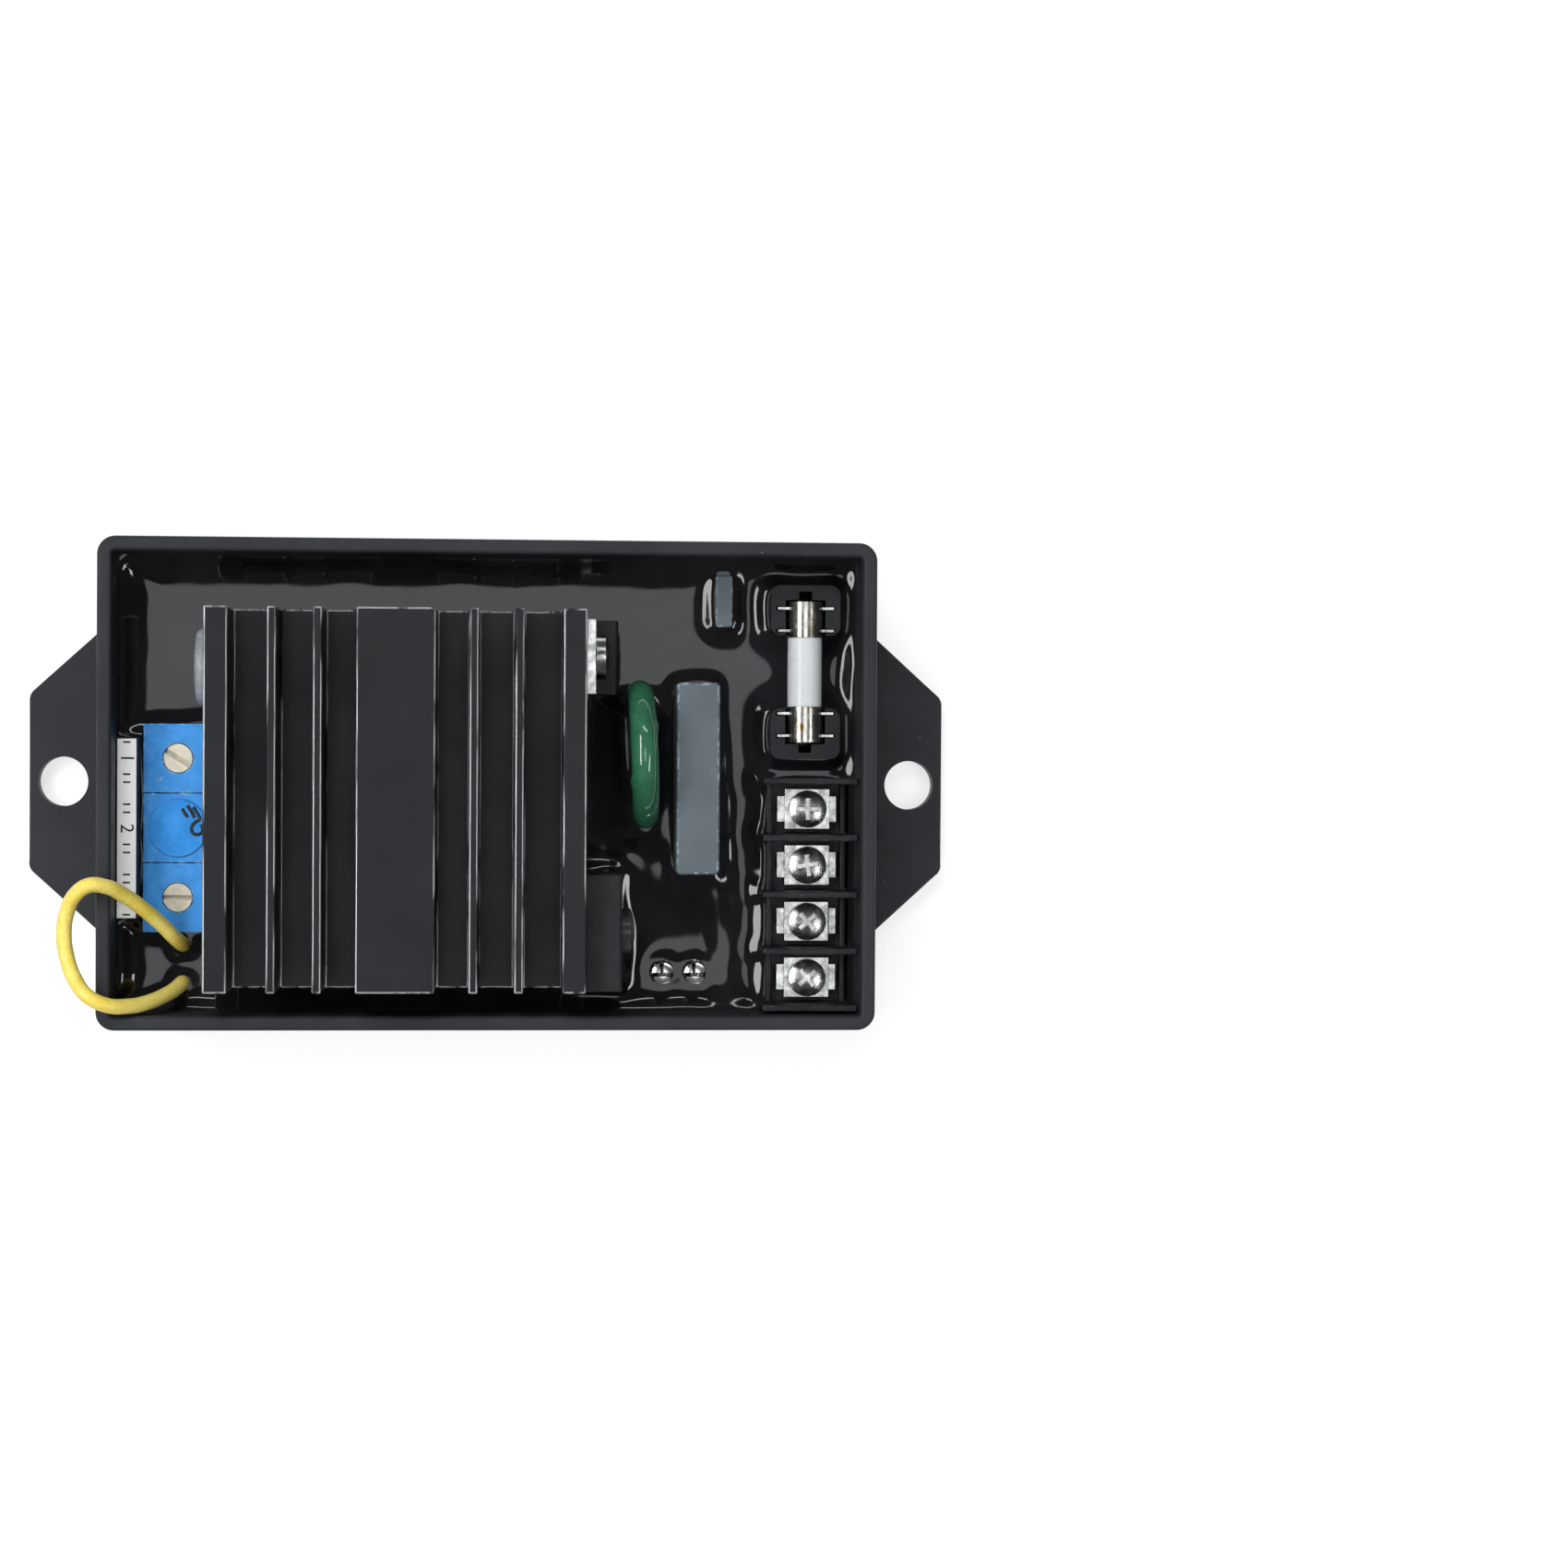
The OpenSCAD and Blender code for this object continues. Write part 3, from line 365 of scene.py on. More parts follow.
@dataclass(frozen=True)
class Finish:
    """A finish of two tones with a range of roughness and a fine relief; lengths in millimetres."""

    name: str
    deep: Colour
    pale: Colour
    rough: tuple[float, float]
    patch: float = 8.0
    grain: float = 0.3
    relief: float = 0.004
    patch_share: float = 0.65
    rough_patch: float = 0.6
    fixed: dict[str, Any] = field(default_factory=dict)
    speck_pitch: float = 2.6
    speck_share: float = 0.0
    speck_tone: Colour = (0.30, 0.30, 0.31)
    # Tone of the broken edges: rubbed bare metal where bare is set, and elsewhere partly wear, partly a
    # painted edge highlight
    worn: Optional[Colour] = None
    worn_patch: float = 1.1
    worn_share: tuple[float, float] = (0.46, 0.66)
    bare: bool = False

    def colour(self, sheet: FinishSheet, place: Signal) -> Signal:
        """The base colour.

        Args:
            sheet: The material's sheet.
            place: The point on the piece.

        Returns:
            The two tones, clouded, with the dust that the finish has.
        """
        patches = self.patch_share * sheet.cloud(place, self.patch)
        grain = (1.0 - self.patch_share) * sheet.cloud(place, self.grain)
        colour = (patches + grain).ramp(*TONE_BAND).mix(self.deep, self.pale)
        if self.speck_share:
            colour = sheet.specks(place, self.speck_pitch, self.speck_share).mix(colour, self.speck_tone)
        return colour

    def roughness(self, sheet: FinishSheet, place: Signal) -> Signal:
        """Roughness that drifts between the two ends of its range."""
        low, high = self.rough
        return low + (high - low) * sheet.cloud(place, self.patch * self.rough_patch).ramp(*ROUGH_BAND)

    def height(self, sheet: FinishSheet, place: Signal) -> Signal:
        """Height of the fine relief."""
        return sheet.cloud(place, self.grain, FINE)

    def rubbed(self, sheet: FinishSheet, place: Signal) -> Signal:
        """1 on a broken edge and 0 elsewhere, broken up along the edge: rubbed wear, and also a painted edge
        highlight on finishes that aren't bare.
        """
        edges = sheet.node("ShaderNodeAttribute", {"attribute_name": EDGE_WEAR_AND_HIGHLIGHT}, {}, "Fac")
        return edges * sheet.cloud(place, self.worn_patch).ramp(*self.worn_share)

    def material(self) -> bpy.types.Material:
        """Builds the material.

        Returns:
            The finished material, whose broken edges take a lighter tone where the finish says so: rubbed
            bare metal where it is bare, and partly wear, partly a painted edge highlight elsewhere.
        """
        sheet = FinishSheet(self.name)
        place = sheet.place()
        colour = self.colour(sheet, place)
        others = dict(self.fixed)
        if self.worn:
            # The broken edges take the lighter tone: rubbed metal where bare, and a painted edge highlight
            # with wear on the other finishes
            rubbed = self.rubbed(sheet, place)
            colour = rubbed.mix(colour, self.worn)
            if self.bare:
                others["Metallic"] = rubbed
        rough = self.roughness(sheet, place)
        height = self.height(sheet, place)
        return sheet.close(colour, rough, height, self.relief, others)


@dataclass(frozen=True)
class PouredFinish(Finish):
    """Cast resin: a glossy skin with slow waves and dust."""

    wave: float = 9.0
    wave_share: float = 0.97

    def height(self, sheet: FinishSheet, place: Signal) -> Signal:
        """Slow waves with a trace of fine grain."""
        waves = self.wave_share * sheet.cloud(place, self.wave, SMOOTH)
        return waves + (1.0 - self.wave_share) * sheet.cloud(place, self.grain)


@dataclass(frozen=True)
class ExtrudedFinish(Finish):
    """Anodised extrusion: die lines along Y and a dull bloom."""

    line: float = 0.22
    line_run: float = 0.01
    line_share: float = 0.6
    dash: float = 0.12

    def rubbed(self, sheet: FinishSheet, place: Signal) -> Signal:
        """Rubbed edges in dashes that are long along Y."""
        return super().rubbed(sheet, sheet.place((1.0, self.dash, 1.0)))

    def height(self, sheet: FinishSheet, place: Signal) -> Signal:
        """Die lines that run along Y, over a fine etch."""
        lines = sheet.cloud(sheet.place((1.0, self.line_run, 1.0)), self.line, FINE)
        return self.line_share * lines + (1.0 - self.line_share) * sheet.cloud(place, self.grain)


@dataclass(frozen=True)
class StainedFinish(Finish):
    """Plated metal with handling stains."""

    stain: Colour = (0.40, 0.33, 0.22)
    stain_size: float = 3.0
    stain_detail: float = 5.0
    stain_band: tuple[float, float] = (0.56, 0.74)

    def colour(self, sheet: FinishSheet, place: Signal) -> Signal:
        """The plating, with warm stains in places.

        Args:
            sheet: The material's sheet.
            place: The point on the piece.

        Returns:
            The stained colour.
        """
        plating = super().colour(sheet, place)
        stained = sheet.cloud(place, self.stain_size, self.stain_detail).ramp(*self.stain_band)
        return stained.mix(plating, self.stain)


METAL = {"Metallic": 1.0}
DULL = {"Specular IOR Level": 0.3}
FINISHES: dict[Slot, Finish] = {
    Slot.TRAY: Finish(
        "tray_charcoal", (0.020, 0.021, 0.0245), (0.0265, 0.028, 0.0325), (0.46, 0.58), 14.0, 0.16, 0.012,
        fixed=DULL, speck_pitch=2.2, speck_share=0.07, speck_tone=(0.14, 0.14, 0.15),
        # The lighter broken edges of the tray are partly wear and partly a painted edge highlight
        worn=(0.044, 0.046, 0.051), worn_patch=2.0),
    Slot.RESIN: PouredFinish(
        "cast_resin", (0.004, 0.004, 0.005), (0.009, 0.009, 0.011), (0.03, 0.10), 7.0, 0.2, 0.02,
        speck_pitch=3.5, speck_share=0.03, speck_tone=(0.10, 0.10, 0.10)),
    Slot.BOARD: Finish(
        "solder_resist", (0.010, 0.060, 0.026), (0.020, 0.090, 0.040), (0.35, 0.50)),
    Slot.ANODISED: ExtrudedFinish(
        "black_anodised", (0.009, 0.0095, 0.0112), (0.0125, 0.0131, 0.0152), (0.35, 0.40), 14.0, 0.12, 0.006,
        fixed=DULL, speck_pitch=1.8, speck_share=0.05, speck_tone=(0.08, 0.08, 0.09),
        worn=(0.66, 0.67, 0.69), worn_patch=1.6, worn_share=(0.38, 0.58), bare=True),
    Slot.TINNED: StainedFinish(
        "tinned_steel", (0.40, 0.40, 0.39), (0.70, 0.70, 0.68), (0.14, 0.30), 1.6, 0.12, 0.012,
        fixed=METAL, stain=(0.22, 0.21, 0.19), stain_size=2.4),
    Slot.BLACK_SCREW: Finish(
        "blackened_steel", (0.020, 0.020, 0.022), (0.060, 0.060, 0.064), (0.28, 0.44), 1.5),
    Slot.PACKAGE: Finish(
        "package_epoxy", (0.011, 0.012, 0.0135), (0.017, 0.0185, 0.021), (0.45, 0.60), 6.0, 0.14, 0.010,
        fixed=DULL),
    Slot.VARISTOR: Finish(
        "green_dip", (0.018, 0.092, 0.048), (0.028, 0.128, 0.068), (0.05, 0.11), 6.0, 0.8, 0.02,
        fixed={"Specular IOR Level": 0.9}),
    Slot.CAPACITOR: Finish(
        "grey_blue_case", (0.078, 0.098, 0.114), (0.095, 0.117, 0.134), (0.38, 0.55), 7.0, 0.14, 0.012,
        # The lighter broken edges of the case are partly wear and partly a painted edge highlight
        speck_pitch=1.4, speck_share=0.08, speck_tone=(0.22, 0.25, 0.27), worn=(0.26, 0.30, 0.33)),
    Slot.DISC: Finish(
        "pale_grey_dip", (0.23, 0.25, 0.28), (0.32, 0.35, 0.385), (0.22, 0.36), 3.0, 0.5, 0.02),
    Slot.NICKEL: StainedFinish(
        "bright_nickel", (0.66, 0.63, 0.56), (0.86, 0.84, 0.78), (0.15, 0.28), 2.0, 0.2, 0.008,
        fixed=METAL, stain=(0.45, 0.33, 0.17), stain_size=2.2),
    Slot.CERAMIC: Finish(
        "white_ceramic", (0.50, 0.52, 0.54), (0.54, 0.56, 0.57), (0.20, 0.36), 6.0, 0.25, 0.006),
    Slot.TERMINAL: Finish(
        "terminal_black", (0.010, 0.0105, 0.0125), (0.016, 0.017, 0.0195), (0.36, 0.52), 5.0, 0.13, 0.012,
        fixed=DULL, speck_pitch=1.6, speck_share=0.07, speck_tone=(0.12, 0.12, 0.13),
        # The lighter broken edges of the block are partly wear and partly a painted edge highlight
        worn=(0.032, 0.033, 0.037), worn_patch=2.0),
    Slot.LENS: Finish(
        "clear_epoxy", (0.88, 0.90, 0.91), (0.95, 0.96, 0.97), (0.0, 0.05), 1.0, 0.3, 0.002,
        fixed={"Transmission Weight": 1.0, "IOR": 1.53}),
    Slot.TRIMMER: Finish(
        "trimmer_blue", (0.026, 0.225, 0.600), (0.044, 0.285, 0.720), (0.38, 0.52), 1.6, 0.16, 0.014,
        # The lighter broken edges of the trimmers are partly wear and partly a painted edge highlight
        speck_pitch=1.2, speck_share=0.08, speck_tone=(0.14, 0.42, 0.78), worn=(0.36, 0.58, 0.82)),
    Slot.ROTOR: Finish(
        "rotor_cream", (0.57, 0.52, 0.42), (0.70, 0.65, 0.55), (0.36, 0.52), 0.9, 0.14, 0.012),
    Slot.LACQUER: PouredFinish(
        "blue_lacquer", (0.018, 0.215, 0.610), (0.034, 0.270, 0.720), (0.30, 0.44), 3.0, 0.7, 0.30,
        fixed=DULL, wave=3.4),
    Slot.LABEL: Finish(
        "label_film", (0.92, 0.92, 0.91), (0.96, 0.96, 0.95), (0.40, 0.55), 1.5, 0.2, 0.006),
    Slot.WIRE: Finish(
        "yellow_jacket", (0.74, 0.57, 0.085), (0.88, 0.74, 0.190), (0.28, 0.42), 7.0, 0.5, 0.02,
        speck_pitch=2.4, speck_share=0.06, speck_tone=(0.30, 0.20, 0.05)),
    Slot.RESISTOR: Finish(
        "tan_lacquer", (0.36, 0.24, 0.10), (0.52, 0.37, 0.18), (0.25, 0.40), 1.5),
}
SILVERED = Finish("silvered_frame", (0.64, 0.64, 0.63), (0.84, 0.84, 0.82), (0.14, 0.26), 1.2, fixed=METAL)
INK = Finish("black_ink", (0.010, 0.010, 0.011), (0.024, 0.024, 0.026), (0.45, 0.65), 0.6)
PASTE = Finish("thermal_paste", (0.76, 0.77, 0.76), (0.88, 0.88, 0.87), (0.50, 0.70), 0.8, 0.25, 0.03)


def new_object(name: str, data: bpy.types.ID) -> bpy.types.Object:
    """Makes an object at the origin and links it to the scene.

    Args:
        name: The object's name.
        data: Its mesh, curve, light or camera.

    Returns:
        The object.
    """
    made = bpy.data.objects.new(name, data)
    bpy.context.scene.collection.objects.link(made)
    return made


def plain_mesh(source: bpy.types.Object) -> bpy.types.Mesh:
    """Turns an object with its modifiers into a mesh.

    Args:
        source: The object, which is removed with its modifiers.

    Returns:
        A new mesh that needs no modifier.
    """
    bpy.context.view_layer.update()
    graph = bpy.context.evaluated_depsgraph_get()
    mesh = bpy.data.meshes.new_from_object(source.evaluated_get(graph), preserve_all_data_layers=True,
                                           depsgraph=graph)
    source.modifiers.clear()
    bpy.data.objects.remove(source)
    return mesh


def tube(name: str, radius: float, rounding: int, paths: Sequence[Sequence[Triple]]) -> bpy.types.Object:
    """Lays a round tube along smooth paths.

    Args:
        name: The tube's name.
        radius: Its radius in millimetres.
        rounding: How finely its section is rounded.
        paths: The points of each path in millimetres.

    Returns:
        A curve with closed ends.
    """
    curve = bpy.data.curves.new(name, "CURVE")
    curve.dimensions = "3D"
    curve.bevel_depth = radius * MM
    curve.bevel_resolution = rounding
    curve.use_fill_caps = True
    for path in paths:
        spline = curve.splines.new("BEZIER")
        spline.bezier_points.add(len(path) - 1)
        for point, place in zip(spline.bezier_points, path):
            point.co = Vector(place) * MM
            point.handle_left_type = point.handle_right_type = "AUTO"
    return new_object(name, curve)


def mesh_piece(name: str, shape: bmesh.types.BMesh, crease: float = CREASE) -> bpy.types.Object:
    """Makes an object of a bmesh.

    Args:
        name: The piece's name.
        shape: The mesh, which is freed.
        crease: Edges sharper than this angle in degrees stay sharp.

    Returns:
        The object.
    """
    mesh = bpy.data.meshes.new(name)
    bmesh.ops.recalc_face_normals(shape, faces=shape.faces[:])
    shape.to_mesh(mesh)
    shape.free()
    mesh.shade_smooth()
    mesh.set_sharp_from_angle(angle=math.radians(crease))
    return new_object(name, mesh)


def merged_copy(node: str) -> bmesh.types.BMesh:
    """Copies a CAD node's mesh with its loose triangles joined.

    Args:
        node: The node's name.

    Returns:
        The joined copy.
    """
    shape = bmesh.new()
    shape.from_mesh(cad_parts[node].data)
    bmesh.ops.remove_doubles(shape, verts=shape.verts[:], dist=MERGE)
    return shape


def is_sharp(edge: bmesh.types.BMEdge) -> bool:
    """Tells whether an edge is sharp enough to be broken."""
    return edge.is_manifold and edge.calc_face_angle() > math.radians(CREASE)


def room_beside(edge: bmesh.types.BMEdge) -> float:
    """Measures how much room an edge's neighbours leave for breaking it.

    Args:
        edge: The edge to be broken.

    Returns:
        The shortest reach, square to the edge, of a neighbour that isn't the same edge running on.
    """
    along = (edge.verts[1].co - edge.verts[0].co).normalized()
    room = math.inf
    for corner in edge.verts:
        for other in corner.link_edges:
            way = other.verts[1].co - other.verts[0].co
            runs_on = is_sharp(other) and abs(way.normalized().dot(along)) > IN_LINE
            if other is not edge and not runs_on:
                room = min(room, way.cross(along).length)
    return room


def weigh_edges(shape: bmesh.types.BMesh, width: float, shortest: float) -> None:
    """Gives each sharp edge the share of a width that it has room for.

    Args:
        shape: The mesh.
        width: Width of a broken edge in metres.
        shortest: Edges shorter than this in metres stay as they are.
    """
    weight = shape.edges.layers.float.new("bevel_weight_edge")
    for edge in shape.edges:
        if is_sharp(edge) and edge.calc_length() > shortest:
            edge[weight] = min(1.0, ROOM_SHARE * room_beside(edge) / width)


def is_folded(mesh: bpy.types.Mesh) -> bool:
    """Tells whether a mesh folds over.

    Args:
        mesh: The mesh with its edges broken.

    Returns:
        True if a triangle looks the other way than the face it is part of.
    """
    mesh.calc_loop_triangles()
    faces = mesh.polygons
    return any(part.normal.dot(faces[part.polygon_index].normal) < 0 and part.area > FOLD_AREA
               for part in mesh.loop_triangles)


def shade_flats(mesh: bpy.types.Mesh) -> None:
    """Shades flats as flat and lets the broken edges, in a slot of their own, turn between them.

    Args:
        mesh: The mesh, which gets normals of its own.
    """
    faces = mesh.polygons
    around: list[list[bpy.types.MeshPolygon]] = [[] for _ in mesh.vertices]
    for face in faces:
        for corner in face.vertices:
            around[corner].append(face)
    normals = []
    for face in faces:
        turn = math.cos(math.radians(EDGE_TURN if face.material_index == EDGE_SLOT else CREASE))
        for corner in face.vertices:
            near = [other for other in around[corner] if other.normal.dot(face.normal) > turn]
            flats = [other for other in near if other.material_index != EDGE_SLOT]
            pulls = [other.normal * other.area for other in flats or near]
            normals.append(sum(pulls, Vector()).normalized())
    mesh.normals_split_custom_set(normals)


def mark_worn(mesh: bpy.types.Mesh) -> None:
    """Marks the broken edges, which came out in a slot of their own, and joins the slots.

    Args:
        mesh: The mesh, which gets a value for each face: 1 on a broken edge and 0 elsewhere.
    """
    worn = mesh.attributes.new(EDGE_WEAR_AND_HIGHLIGHT, "FLOAT", "FACE")
    for face in mesh.polygons:
        worn.data[face.index].value = float(face.material_index == EDGE_SLOT)
        face.material_index = 0


def lathe(profile: Sequence[tuple[float, float]], steps: int) -> bmesh.types.BMesh:
    """Turns a profile round the Z axis.

    Args:
        profile: Radius and height of each point in metres; both ends lie on the axis.
        steps: Sides of the turned shape.

    Returns:
        A closed shape.
    """
    shape = bmesh.new()
    rings: list[list[bmesh.types.BMVert]] = []
    for radius, height in profile:
        count = steps if radius > 0 else 1
        turns = [math.tau * k / steps for k in range(count)]
        rings.append([shape.verts.new((radius * math.cos(t), radius * math.sin(t), height)) for t in turns])
    for below, above in zip(rings, rings[1:]):
        for k in range(steps):
            corners = [below[k % len(below)], below[(k + 1) % len(below)],
                       above[(k + 1) % len(above)], above[k % len(above)]]
            shape.faces.new(list(dict.fromkeys(corners)))
    return shape


def block(shape: bmesh.types.BMesh, low: Triple, high: Triple) -> None:
    """Adds a box between two corners to a bmesh.

    Args:
        shape: The bmesh to add to.
        low: Lowest corner in metres.
        high: Highest corner in metres.
    """
    size = Vector(high) - Vector(low)
    middle = (Vector(high) + Vector(low)) / 2
    bmesh.ops.create_cube(shape, size=1.0, matrix=Matrix.Translation(middle) @ Matrix.Diagonal((*size, 1.0)))


class Paints:
    """The materials, each made once."""

    def __init__(self) -> None:
        """Starts with no material made."""
        self.made: dict[str, bpy.types.Material] = {}

    def material(self, finish: Finish) -> bpy.types.Material:
        """Makes the material of a finish the first time it is asked for.

        Args:
            finish: The finish.

        Returns:
            Its material.
        """
        if finish.name not in self.made:
            self.made[finish.name] = finish.material()
        return self.made[finish.name]

    def of(self, slot: Slot) -> bpy.types.Material:
        """The material of a record's slot."""
        return self.material(FINISHES[slot])


@dataclass
class SubAssembly(ABC):
    """Pieces that are made and dressed together; sizes in millimetres."""

    paints: Paints

    @abstractmethod
    def build(self) -> None:
        """Makes the pieces and dresses them."""

    def settle(self, piece: bpy.types.Object, slot: Slot, nodes: Sequence[str] = (), body: str = FIXED_BODY,
               finish: Optional[Finish] = None) -> bpy.types.Object:
        """Paints a piece and hangs it on its body.

        Args:
            piece: The finished piece.
            slot: The record's slot that it takes its finish from.
            nodes: CAD nodes that it stands for.
            body: The body that carries it.
            finish: Another finish than the slot's.

        Returns:
            The piece.
        """
        material = self.paints.material(finish or FINISHES[slot])
        piece.data.materials.clear()
        piece.data.materials.append(material)
        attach(piece, body)
        if nodes:
            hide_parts(*nodes)
        log.info("%s: %s on %s", piece.name, material.name, body)
        return piece

    def soften(self, node: str, slot: Slot, width: float, body: str = FIXED_BODY,
               shortest: float = 0.0) -> bpy.types.Object:
        """Replaces a CAD node by a copy whose sharp edges are broken.

        Args:
            node: The CAD node.
            slot: Its slot.
            width: Width of the broken edge in millimetres, halved until no face folds.
            body: The body that carries it.
            shortest: Edges shorter than this in millimetres, such as a hole's, stay as they are.

        Returns:
            The new piece.
        """
        mesh = self.break_edges(node, slot, width * MM, shortest * MM)
        while is_folded(mesh) and width > LEAST_EDGE:
            width /= 2
            mesh = self.break_edges(node, slot, width * MM, shortest * MM)
        log.info("%s: edges broken by %.3f mm", node, width)
        mark_worn(mesh)
        return self.settle(new_object(node + "_dressed", mesh), slot, [node], body)

    def break_edges(self, node: str, slot: Slot, width: float, shortest: float) -> bpy.types.Mesh:
        """Breaks the sharp edges of a copy of a CAD node.

        Args:
            node: The CAD node.
            slot: Its slot.
            width: Width of the broken edge in metres.
            shortest: Edges shorter than this in metres stay as they are.

        Returns:
            The copy's mesh, with the broken edges in a material slot of their own.
        """
        shape = merged_copy(node)
        bmesh.ops.dissolve_limit(shape, angle_limit=math.radians(FLAT), verts=shape.verts[:],
                                 edges=shape.edges[:])
        weigh_edges(shape, width, shortest)
        copy = mesh_piece(node + "_rough", shape)
        for _ in range(EDGE_SLOT + 1):
            copy.data.materials.append(self.paints.of(slot))
        bevel = copy.modifiers.new("broken_edges", "BEVEL")
        bevel.width = width
        bevel.segments = EDGE_STEPS
        bevel.limit_method = "WEIGHT"
        bevel.use_clamp_overlap = False
        bevel.material = EDGE_SLOT
        mesh = plain_mesh(copy)
        shade_flats(mesh)
        return mesh

    def paint_node(self, node: str, slot: Slot) -> None:
        """Gives a CAD node that stays as it is its finish.

        Args:
            node: The CAD node.
            slot: Its slot.
        """
        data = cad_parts[node].data
        data.materials.clear()
        data.materials.append(self.paints.of(slot))
        log.info("%s: CAD node with %s", node, slot.value)


@dataclass
class JumperLead(SubAssembly):
    """Yellow lead that loops over the tray's corner and dips into the resin at both ends."""

    diameter: float = 2.1
    length: float = 60.7
    rounding: int = 5
    route: tuple[Triple, ...] = (
        (-42.2, -22.4, 13.0), (-42.3, -22.2, 15.2), (-43.0, -21.3, 17.4), (-44.6, -19.4, 19.4),
        (-46.8, -17.2, 21.6), (-49.2, -15.2, 24.2), (-51.4, -13.9, 26.6), (-53.6, -13.7, 27.9),
        (-55.4, -15.0, 27.6), (-56.6, -17.3, 26.4), (-57.1, -20.2, 25.6), (-56.7, -23.4, 25.7),
        (-55.5, -26.4, 26.6), (-53.6, -28.6, 27.9), (-51.2, -29.8, 27.5), (-48.6, -30.1, 25.4),
        (-46.2, -29.8, 22.6), (-44.3, -29.1, 19.6), (-42.9, -28.3, 16.6), (-42.4, -27.8, 14.6),
        (-42.3, -27.7, 13.0),
    )

    def build(self) -> None:
        lead = tube("jumper_lead", self.diameter / 2, self.rounding, [self.route])
        self.settle(lead, Slot.WIRE, ["jumper_wire"])


@dataclass
class Tray(SubAssembly):
    """Moulded tray with its ears and the board that it hides."""

    edge: float = 0.3
    short_edge: float = 1.2
    hidden: tuple[tuple[str, Slot], ...] = (
        ("circuit_board", Slot.BOARD), ("heatsink_pins", Slot.TINNED), ("control_ic", Slot.PACKAGE),
        ("control_ic_pins", Slot.TINNED), ("resistors", Slot.RESISTOR), ("resistor_leads", Slot.TINNED),
        ("diodes", Slot.PACKAGE), ("diode_leads", Slot.TINNED), ("trimmer_pins", Slot.TINNED),
        ("varistor_leads", Slot.TINNED), ("film_capacitor_leads", Slot.TINNED),
        ("small_capacitor_leads", Slot.TINNED), ("disc_capacitor_leads", Slot.TINNED),
        ("fuse_element", Slot.TINNED), ("power_transistor_frame", Slot.TINNED), ("led_leads", Slot.TINNED),
    )

    def build(self) -> None:
        """Dresses the tray and what stays out of sight."""
        self.soften("housing", Slot.TRAY, self.edge, shortest=self.short_edge)
        for node, slot in self.hidden:
            self.paint_node(node, slot)


@dataclass(frozen=True)
class Bank:
    """A place where the resin set higher; where it starts, is full, fades and ends, in millimetres."""

    rise: float
    across: Window
    along: Window

    def inside(self, across: Signal, along: Signal) -> Signal:
        """1 inside the bank and 0 away from it, eased between."""
        return self.band(across, self.across) * self.band(along, self.along)

    def band(self, place: Signal, limits: Window) -> Signal:
        """The same along one axis."""
        start, full, fade, end = (limit * MM for limit in limits)
        return place.ramp(start, full) * (1.0 - place.ramp(fade, end))


